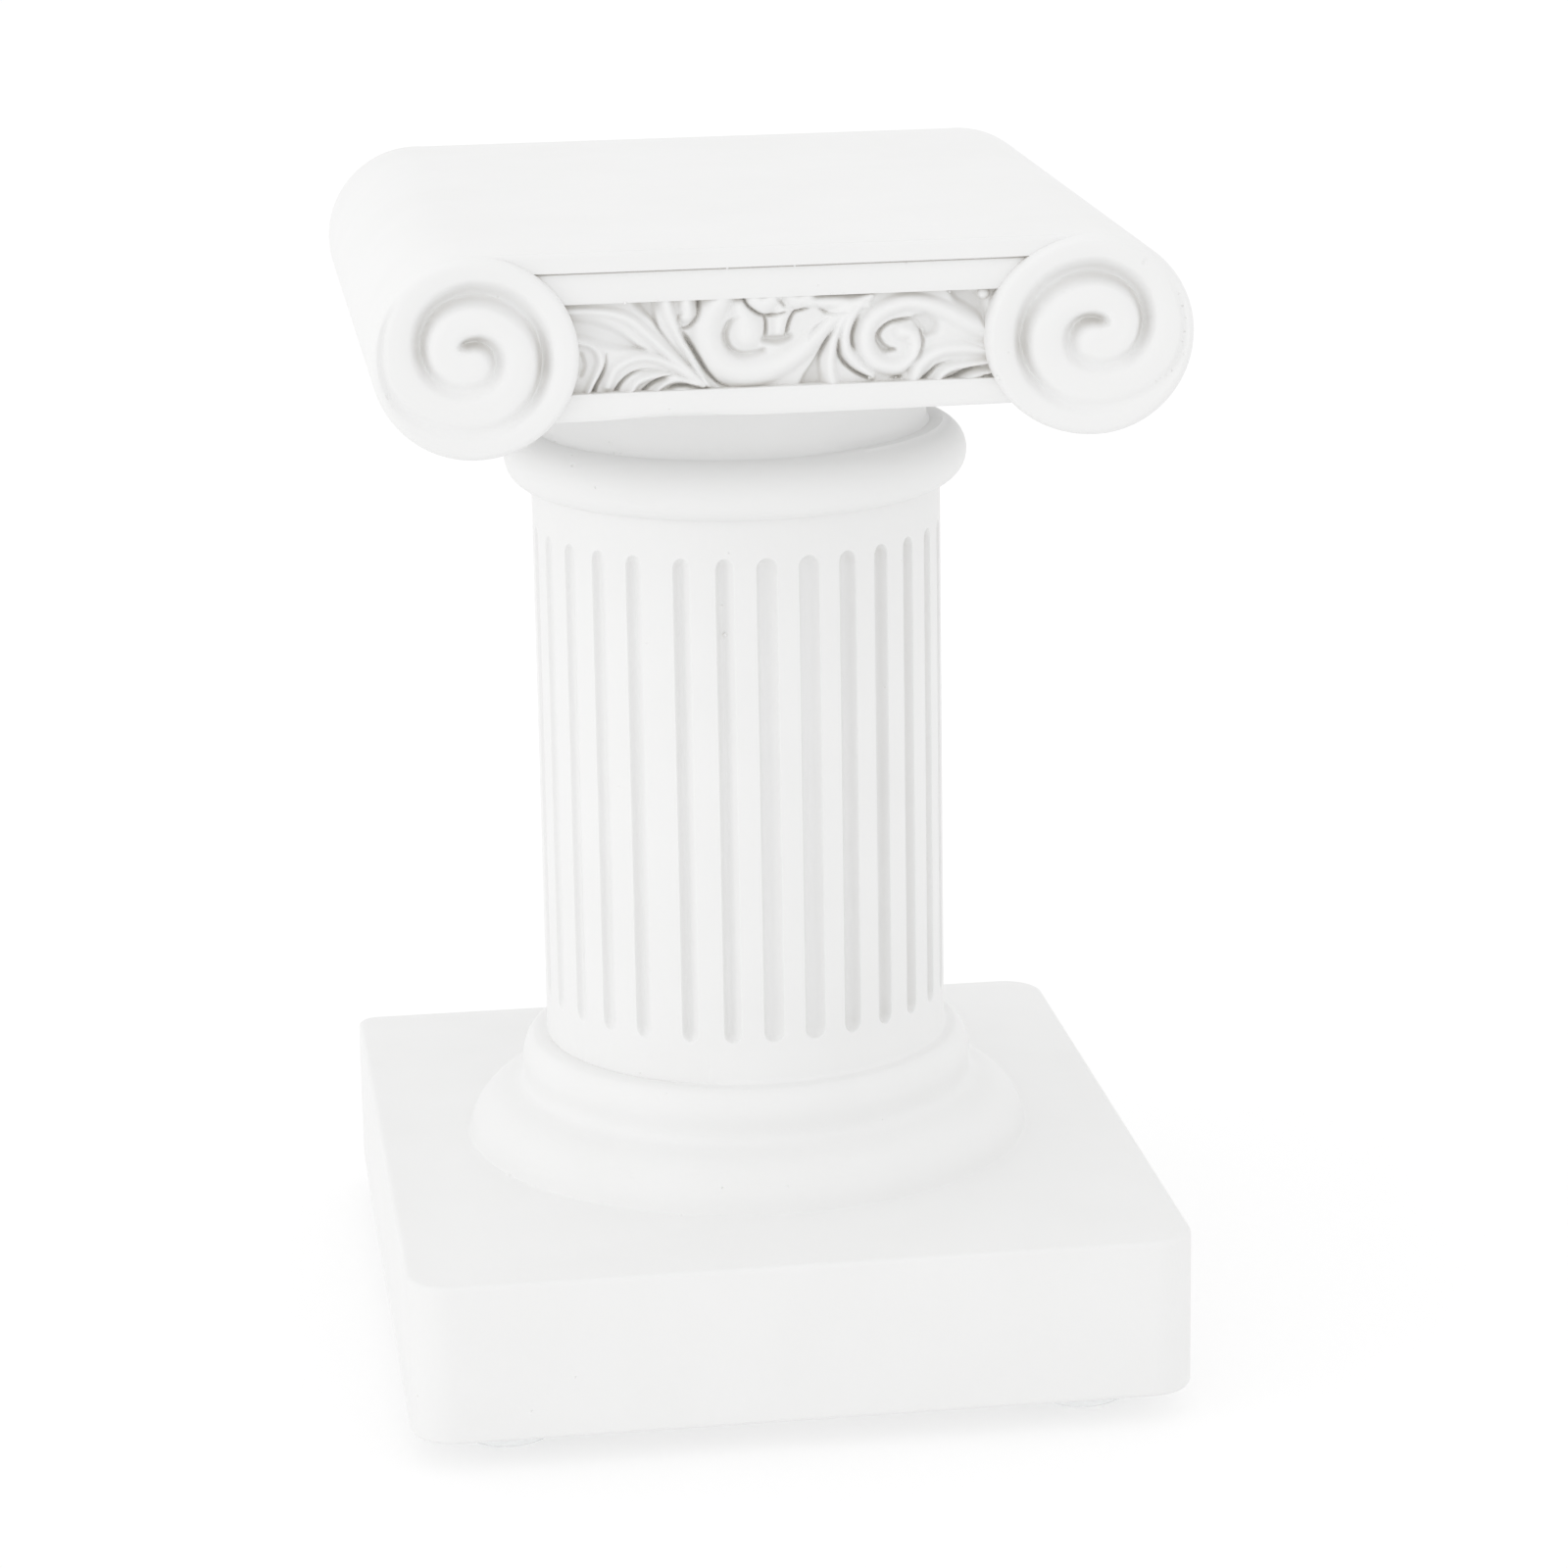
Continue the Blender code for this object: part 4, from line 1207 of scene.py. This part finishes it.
            0.6), (1.3, 1.2, 0.9, 0.5, 0.15)),
        Stroke(((14.3, 13.7), (15.8, 13.7)), (0.35, 0.35), (0.9, 0.9)),
        Stroke(((17.6, 8.35), (19.2, 7.85), (20.6, 7.4)), (0.25, 0.3), (0.12, 0.25, 0.25)),
        Stroke(((13.4, 4.7), (14.15, 5.33), (14.87, 5.98), (15.83, 6.33), (17.1, 6.47)), (0.42, 0.38, 0.34,
            0.3, 0.2), (1.0, 0.8, 0.5, 0.25, 0.1)),
        Stroke(((15.8, 4.6), (16.69, 4.94), (17.47, 5.39), (18.53, 5.73), (20.3, 5.96)), (0.25, 0.42, 0.45,
            0.32, 0.25), (0.6, 1.1, 1.3, 0.6, 0.3)),
        Stroke(((19.3, 4.85), (20.6, 5.05)), (0.2, 0.25), (0.4, 0.6)),
        Stroke(((10.4, 5.05), (11.3, 5.1)), (0.25, 0.3), (0.3, 0.8)),
        Stroke(((3.0, 13.75), (4.9, 13.7), (7.7, 13.7), (10.1, 13.75)), (0.4, 0.6, 0.5, 0.35), (0.7, 0.9,
            0.7)),
    )

    def heights(self, places: np.ndarray) -> np.ndarray:
        """The carving's height over its bed.

        Args:
            places: Places on the sheet, as x and z from the drawing's level.

        Returns:
            The height at each place.
        """
        front = self.side is Side.FRONT
        total = np.full(len(places), (self.base if front else 0.0) ** self.merge)
        for stroke in self.scrolls + self.petals if front else self.scrolls:
            total += stroke.profile(places, self.round_power, self.plump) ** self.merge
        for stroke in self.leaves if front else ():
            total += stroke.profile(places, self.leaf_power, self.plump) ** self.merge
        raised = total ** (1 / self.merge)
        if front:
            sunk = np.zeros(len(places))
            for stroke in self.cuts:
                sunk = np.maximum(sunk, stroke.profile(places, self.cut_power, self.fine_cut))
            raised = np.maximum(raised - sunk, self.lowest)
        return raised * self.rise + self.lift

    def softened(self, heights: np.ndarray, cell: float) -> np.ndarray:
        """Blurs a sheet of heights as a worn mould does.

        Args:
            heights: The heights, row by row.
            cell: Distance of two places.

        Returns:
            The softened heights.
        """
        edge = self.soften_cells
        reach = np.arange(-edge, edge + 1) * cell
        weight = np.exp(-0.5 * (reach / self.soften) ** 2)
        weight /= weight.sum()
        for axis in (0, 1):
            padded = np.pad(heights, [(edge, edge) if k == axis else (0, 0) for k in (0, 1)], mode="edge")
            heights = np.apply_along_axis(np.convolve, axis, padded, weight, mode="valid")
        return heights

    def build(self) -> bpy.types.Object:
        """A grid that is raised by the strokes and closed to a slab.

        Returns:
            The carving as a solid that reaches into the capital.
        """
        cell = self.cell if self.side is Side.FRONT else self.coarse * self.cell
        low, high = self.bottom - self.margin, self.top + self.margin
        columns, rows = round(2 * self.half / cell), round((high - low) / cell)
        bpy.ops.mesh.primitive_grid_add(x_subdivisions=columns, y_subdivisions=rows, size=MM)
        sheet = newest("frieze")
        flat = points_of(sheet)
        out = self.side.value
        x = -out * flat[:, 0] * 2 * self.half
        z = low + (flat[:, 1] + 0.5) * (high - low)
        seen = np.stack([-out * x, z - self.level], 1)
        height = self.softened(self.heights(seen).reshape(rows + 1, columns + 1), cell).ravel()
        y = out * (self.bed + height)
        move_points(sheet, np.stack([x, y, z], 1))
        with editing(sheet, select=False):
            bpy.ops.mesh.select_mode(type="EDGE")
            bpy.ops.mesh.select_non_manifold()
            bpy.ops.mesh.extrude_region_move(TRANSFORM_OT_translate={"value": (0, 0, 0)})
            rim = bmesh.from_edit_mesh(sheet.data)
            for corner in rim.verts:
                if corner.select:
                    corner.co.y = out * (self.bed - self.back) * MM
            bmesh.update_edit_mesh(sheet.data)
            bpy.ops.mesh.edge_face_add()
            bpy.ops.mesh.select_all(action="SELECT")
            bpy.ops.mesh.normals_make_consistent(inside=False)
        return sheet


@dataclass
class Capital:
    """The oblong slab with its two rolls, and on each long face a crease, a band, a frieze and a fillet."""

    bottom: float
    top: float
    face: float
    axis_x: float
    roll_radius: float
    frieze_bottom: float
    frieze_top: float
    roll_steps: int = 96
    slab_edge: float = 1.95
    edge_round: float = 0.45
    edge_steps: int = 3
    edge_slack: float = 0.01
    crease: float = 0.2
    crease_depth: float = 0.3
    band_setback: float = 0.3
    fillet_setback: float = 0.2
    bed_depth: float = 2.93
    reach: float = 26.0
    volute_gap: float = 0.02
    sag_step: float = 1.0

    # The section of a face from the top down: how far each point is behind its face and above its edge
    slab_foot: Curve = ((-2, 0), (0.08, 0), (0.25, -0.05))
    band_head: Curve = ((0.3, 0.03), (0.16, -0.06), (0.06, -0.4), (0, -1.2))
    band_foot: Curve = ((0.03, 0.9), (0.1, 0.3), (0.2, 0))
    fillet_head: Curve = ((0.16, 0), (0.05, -0.15), (0, -0.8))
    fillet_foot: Curve = ((0.04, 0.8), (0.14, 0.35), (0.32, 0.1), (0.6, 0), (2, -0.6))

    # How far the front's lower edge strays from level, by distance to the right
    sag: Curve = (
        (-26, -0.15), (-18.6, -0.15), (-13.6, 0.2), (-11.6, 0.32), (-7.5, 0.2), (-3.5, -0.1), (10.6, -0.06),
        (18.6, 0.05), (26, 0.2),
    )

    @property
    def axis_z(self) -> float:
        """Height of the rolls' axis."""
        return self.top - self.roll_radius

    def body(self) -> bpy.types.Object:
        """The front outline, filled and extruded to the back.

        Returns:
            The capital without its faces' mouldings.
        """
        foot = math.degrees(math.asin((self.axis_z - self.bottom) / self.roll_radius))
        turn = 360 - foot
        steps = round(self.roll_steps * (turn - 90) / 360)
        left = arc((-self.axis_x, self.axis_z), self.roll_radius, 90, turn, steps)
        outline = left + [(-x, z) for x, z in reversed(left)]
        body = drawn("capital", [(x, -self.face, z) for x, z in outline], face=True)
        extruded(body, (0, 2 * self.face, 0))
        limit = (self.face - self.edge_slack) * MM
        with editing(body, select=False):
            pick_edges(body, lambda a, b: min(abs(a.y), abs(b.y)) > limit and a.y * b.y > 0)
            bpy.ops.mesh.bevel(
                offset=self.edge_round * MM, segments=self.edge_steps, affect="EDGES", clamp_overlap=False
            )
        return body

    def air(self, side: Side) -> bpy.types.Object:
        """The space before a long face, with the section of its mouldings.

        Args:
            side: The face.

        Returns:
            A cutter as a solid.
        """
        band, fillet = self.face - self.band_setback, self.face - self.fillet_setback
        bed = self.face - self.bed_depth
        crease_top = self.top - self.slab_edge
        parts = (
            (self.face, crease_top, self.slab_foot),
            (self.face - self.crease_depth, crease_top - self.crease / 2, ((0, 0),)),
            (band, crease_top - self.crease, self.band_head),
            (band, self.frieze_top, self.band_foot),
            (bed, self.frieze_top, ((0, 0),)),
            (bed, self.frieze_bottom, ((0, 0),)),
            (fillet, self.frieze_bottom, self.fillet_head),
            (fillet, self.bottom, self.fillet_foot),
        )
        line = [(y - behind, z + above) for y, z, part in parts for behind, above in part]
        line.append((line[0][0], line[-1][1]))
        out = side.value
        cutter = drawn("air", [(-self.reach, out * y, z) for y, z in line], face=True)
        extruded(cutter, (2 * self.reach, 0, 0))
        if side is Side.FRONT:
            self.sagging(cutter)
        return cutter

    def sagging(self, cutter: bpy.types.Object) -> None:
        """Lets the cutter's lower edge stray from level.

        Args:
            cutter: The space before the front.
        """
        with editing(cutter):
            for x in np.arange(self.sag_step - self.reach, self.reach, self.sag_step):
                bpy.ops.mesh.select_all(action="SELECT")
                bpy.ops.mesh.bisect(plane_co=(x * MM, 0, 0), plane_no=(1, 0, 0), threshold=WELD)
        points = points_of(cutter)
        low = np.clip((self.frieze_bottom - points[:, 2]) / (self.frieze_bottom - self.bottom), 0, 1)
        points[:, 2] += low * read_off(points[:, 0], self.sag)
        move_points(cutter, points)

    def build(self) -> bpy.types.Object:
        """Cuts the mouldings and adds the friezes and volutes.

        Returns:
            The whole capital as a solid.
        """
        body = self.body()
        bed, radius = self.face - self.bed_depth, self.roll_radius - self.volute_gap
        for side in Side:
            combine(body, self.air(side), "DIFFERENCE")
            combine(body, Frieze(side, bed, self.frieze_bottom, self.frieze_top).build(), "UNION")
            LOG.info("frieze %s: %d points", side.name.lower(), len(body.data.vertices))
            for hand in Hand:
                volute = Volute(hand, side, self.axis_x, self.axis_z, radius, self.face)
                combine(body, volute.seat(), "DIFFERENCE")
                combine(body, volute.build(), "UNION")
        LOG.info("capital: %d points", len(body.data.vertices))
        return body


@dataclass
class Casting:
    """The whole casting as one closed body."""

    low: Vector
    high: Vector
    base_height: float = 11.4
    shaft_height: float = 59.8
    shaft_radius: float = 21.4
    plinth_height: float = 16.8
    capital_height: float = 16.45
    capital_length: float = 80.0
    capital_depth: float = 78.0
    volute_radius: float = 9.85
    frieze_foot: float = 2.65
    frieze_height: float = 8.7
    stray: float = -0.2

    # Nubs and pits: their places seen straight from the front, and their radius, negative for a pit
    marks: tuple[tuple[float, float, float], ...] = (
        # Frieze and band
        (19.5, 116.0, 0.62), (16.2, 116.2, 0.2), (8.3, 108.2, 0.2), (10.9, 108.0, 0.16),
        (20.5, 108.0, 0.26), (1.0, 119.5, 0.14), (-5.5, 119.5, 0.13), (11.8, 119.3, 0.11),
        (-15.4, 116.5, 0.16), (-12.4, 116.6, 0.13), (4.5, 116.7, 0.1), (5.7, 116.7, 0.08),
        (-27.5, 117.5, -0.1), (3.2, 117.5, -0.11), (-11.4, 106.1, -0.13), (21.5, 110.5, -0.12),
        # Volutes, with the rough strip on the right one's rim
        (34.8, 118.7, -0.35), (34.9, 119.1, 0.12), (-38.4, 108.6, -0.45), (-38.0, 107.6, -0.25),
        (38.3, 115.5, -0.12), (38.7, 114.3, -0.14), (39.0, 113.1, -0.12), (38.9, 111.8, -0.14),
        (38.7, 110.8, -0.12), (38.8, 109.6, -0.13), (37.7, 108.0, -0.12), (36.1, 107.0, -0.14),
        (36.5, 107.3, -0.1), (37.1, 107.5, -0.1),
        # Ring and neck
        (-18.6, 96.1, -0.4), (-16.7, 94.3, -0.15), (-19.8, 97.1, 0.12), (-14.4, 97.2, -0.3),
        (-13.8, 97.3, -0.12), (-14.8, 98.2, -0.1), (-14.1, 98.7, -0.08), (-18.5, 96.8, -0.15),
        # Shaft
        (-4.1, 79.0, 0.24), (-4.4, 82.1, -0.12), (-3.7, 87.7, -0.13), (-11.9, 78.0, -0.1),
        (14.8, 84.8, -0.12), (12.8, 71.8, -0.12), (-14.8, 62.4, -0.1), (-13.5, 31.6, -0.12),
        # Mouldings and plinth
        (11.3, 26.4, -0.12), (-6.5, 22.6, -0.16), (0.2, 22.6, -0.12), (-10.8, 19.9, -0.14),
        (-27.2, 20.0, 0.14), (-11.2, 30.5, -0.1), (-23.6, 9.5, -0.16), (-28.1, 6.2, -0.16),
        (-39.3, 7.7, -0.16),
    )
    mark_steps: int = 2
    pit_rise: float = 0.35
    chip_rise: float = 0.65
    chip_radius: float = 0.25

    def build(self) -> bpy.types.Object:
        """Makes the parts from the ground up and joins them.

        Returns:
            The casting, with its marks.
        """
        wide, deep = (self.high.x - self.low.x) / MM, (self.high.y - self.low.y) / MM
        bottom, top = self.low.z / MM, self.high.z / MM
        plinth_top = bottom + self.plinth_height
        shaft_foot = plinth_top + self.base_height
        shaft_top = shaft_foot + self.shaft_height
        capital_foot = top - self.capital_height
        casting = Plinth(wide, deep, bottom, plinth_top).build()
        mouldings = BaseMouldings(plinth_top, shaft_foot, self.shaft_radius).build()
        shaft = FlutedShaft(shaft_foot, shaft_top, self.shaft_radius).build()
        ring = NeckRing(shaft_top, capital_foot, self.shaft_radius).build()
        axis_x, frieze_bottom = self.capital_length / 2 - self.volute_radius, capital_foot + self.frieze_foot
        frieze_top = capital_foot + self.frieze_foot + self.frieze_height
        face = self.capital_depth / 2
        capital = Capital(
            capital_foot, top, face, axis_x, self.volute_radius, frieze_bottom, frieze_top
        ).build()
        for part in (mouldings, shaft, ring, capital):
            stray = 0.0 if part is capital else self.stray
            move_points(part, points_of(part) + np.array((stray, 0, 0)))
            combine(casting, part, "UNION")
            LOG.info("joined: %d points", len(casting.data.vertices))
        self.mark(casting)
        return casting

    def mark(self, casting: bpy.types.Object) -> None:
        """Adds the nubs, and cuts the pits and the chips.

        Args:
            casting: The joined casting.
        """
        bpy.context.view_layer.update()
        balls = []
        for x, z, radius in self.marks:
            before = Vector((x, -self.capital_depth, z)) * MM
            _, place, normal, _ = casting.ray_cast(before, Vector((0, 1, 0)))
            rise = self.chip_rise if radius <= -self.chip_radius else self.pit_rise
            balls.append((place - normal * min(radius, 0) * rise * MM, radius))
        for place, radius in sorted(balls, key=lambda ball: ball[1] < 0):
            bpy.ops.mesh.primitive_ico_sphere_add(
                subdivisions=self.mark_steps, radius=abs(radius) * MM, location=place
            )
            bpy.ops.object.transform_apply(location=True, rotation=True, scale=True)
            combine(casting, newest("mark"), "UNION" if radius > 0 else "DIFFERENCE")


@dataclass
class FootPad:
    """A clear stick-on pad with a round edge and a thin film of glue on top."""

    low: Vector
    high: Vector
    glue_top: float
    edge: float = 0.9
    top_edge: float = 0.25
    glue_inset: float = 0.35
    glue_gap: float = 0.005
    edge_steps: int = 8
    round_steps: int = 56

    def build(self) -> bpy.types.Object:
        """Spins the pad's outline.

        Returns:
            The pad as a solid.
        """
        middle = (self.low + self.high) / 2 / MM
        radius, top = (self.high.x - self.low.x) / MM / 2, self.high.z / MM
        glue, glue_top = radius - self.glue_inset, self.glue_top - self.glue_gap
        outline = [(0, 0)] + arc((radius - self.edge, self.edge), self.edge, -90, 0, self.edge_steps)
        upper = (radius - self.top_edge, top - self.top_edge)
        outline += arc(upper, self.top_edge, 0, 90, self.edge_steps // 2)
        outline += [(glue, top), (glue, glue_top), (0, glue_top)]
        return turned("pad", outline, self.round_steps, (middle.x, middle.y))


@dataclass(frozen=True)
class StudioCamera:
    """The picture's camera, fitted to the casting's own edges."""

    turn: float = 7.739
    tilt: float = 15.294
    lean: float = -0.921
    distance: float = 520.349
    aim: tuple[float, float, float] = (0, 0, 58)
    aim_pixel: Point = (758.213, 797.286)
    focal_pixels: float = 4980.514
    picture: float = 1600
    sensor: float = 36
    clip: Point = (0.01, 50)

    def build(self) -> None:
        """Adds the camera and makes it the scene's own."""
        turn, tilt, lean = (math.radians(v) for v in (self.turn, self.tilt, self.lean))
        back = Vector((-math.sin(turn) * math.cos(tilt), -math.cos(turn) * math.cos(tilt), math.sin(tilt)))
        level = (-back).cross(Vector((0, 0, 1))).normalized()
        upward = level.cross(-back)
        right = math.cos(lean) * level + math.sin(lean) * upward
        up = -math.sin(lean) * level + math.cos(lean) * upward
        scale = self.distance / self.focal_pixels
        across = (self.aim_pixel[0] - self.picture / 2) * scale
        down = (self.aim_pixel[1] - self.picture / 2) * scale
        place = Vector(self.aim) + back * self.distance - right * across + up * down
        data = bpy.data.cameras.new("studio camera")
        data.sensor_width = self.sensor
        data.lens = self.focal_pixels / self.picture * self.sensor
        data.clip_start, data.clip_end = self.clip
        camera = bpy.data.objects.new("studio camera", data)
        camera.matrix_world = Matrix.Translation(place * MM) @ Matrix((right, up, back)).transposed().to_4x4()
        bpy.context.scene.collection.objects.link(camera)
        bpy.context.scene.camera = camera


@dataclass(frozen=True)
class Studio:
    """A white floor, an even white room and one broad soft lamp."""

    floor_size: float = 8.0
    room_light: float = 1.06
    lamp_place: tuple[float, float, float] = (-0.8, -0.3, 0.22)
    lamp_aim: tuple[float, float, float] = (0, 0, 0.06)
    lamp_size: float = 0.6
    lamp_power: float = 0.8

    def build(self) -> None:
        """Adds the floor, the room's light and the lamp."""
        deselect()
        bpy.ops.mesh.primitive_plane_add(size=self.floor_size, location=(0, 0, 0))
        floor = newest("studio floor")
        floor.data.materials.append(FloorFinish().material())
        world = bpy.data.worlds.new("studio room")
        world.use_nodes = True
        room = world.node_tree.nodes["Background"]
        room.inputs["Color"].default_value = WHITE
        room.inputs["Strength"].default_value = self.room_light
        bpy.context.scene.world = world
        lamp = bpy.data.lights.new("soft lamp", "AREA")
        lamp.shape, lamp.size, lamp.energy = "SQUARE", self.lamp_size, self.lamp_power
        stand = bpy.data.objects.new("soft lamp", lamp)
        aim = Vector(self.lamp_aim) - Vector(self.lamp_place)
        facing = aim.to_track_quat("-Z", "Y").to_matrix().to_4x4()
        stand.matrix_world = Matrix.Translation(self.lamp_place) @ facing
        bpy.context.scene.collection.objects.link(stand)
        bpy.context.scene.view_settings.view_transform = "Standard"


def dress(piece: bpy.types.Object, material: bpy.types.Material, node: str) -> None:
    """Finishes a piece and gives it its place in the frame.

    Args:
        piece: The new piece.
        material: Its material.
        node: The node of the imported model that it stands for.
    """
    piece.data.materials.clear()
    piece.data.materials.append(material)
    hold(piece)
    bpy.ops.object.shade_smooth_by_angle(angle=SMOOTH_ANGLE)
    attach(piece, "root")
    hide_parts(node)
    faces = sum(len(face.vertices) - 2 for face in piece.data.polygons)
    LOG.info("%s: %d triangles for %s", piece.name, faces, node)


def main() -> None:
    """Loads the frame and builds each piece."""
    logging.basicConfig(level=logging.INFO, format="%(message)s")
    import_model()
    deselect()
    StudioCamera().build()
    Studio().build()
    low, high = (Vector(corner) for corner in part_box("column_casting"))
    casting = Casting(low, high).build()
    casting.name = "casting"
    dress(casting, CastFinish().material(), "column_casting")
    clear = PadFinish().material()
    for place in ("front_left", "front_right", "back_left", "back_right"):
        node = f"foot_pad_{place}"
        pad_low, pad_high = (Vector(corner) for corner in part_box(node))
        pad = FootPad(pad_low, pad_high, low.z / MM).build()
        pad.name = f"pad_{place}"
        dress(pad, clear, node)


if __name__ == "__main__":
    main()
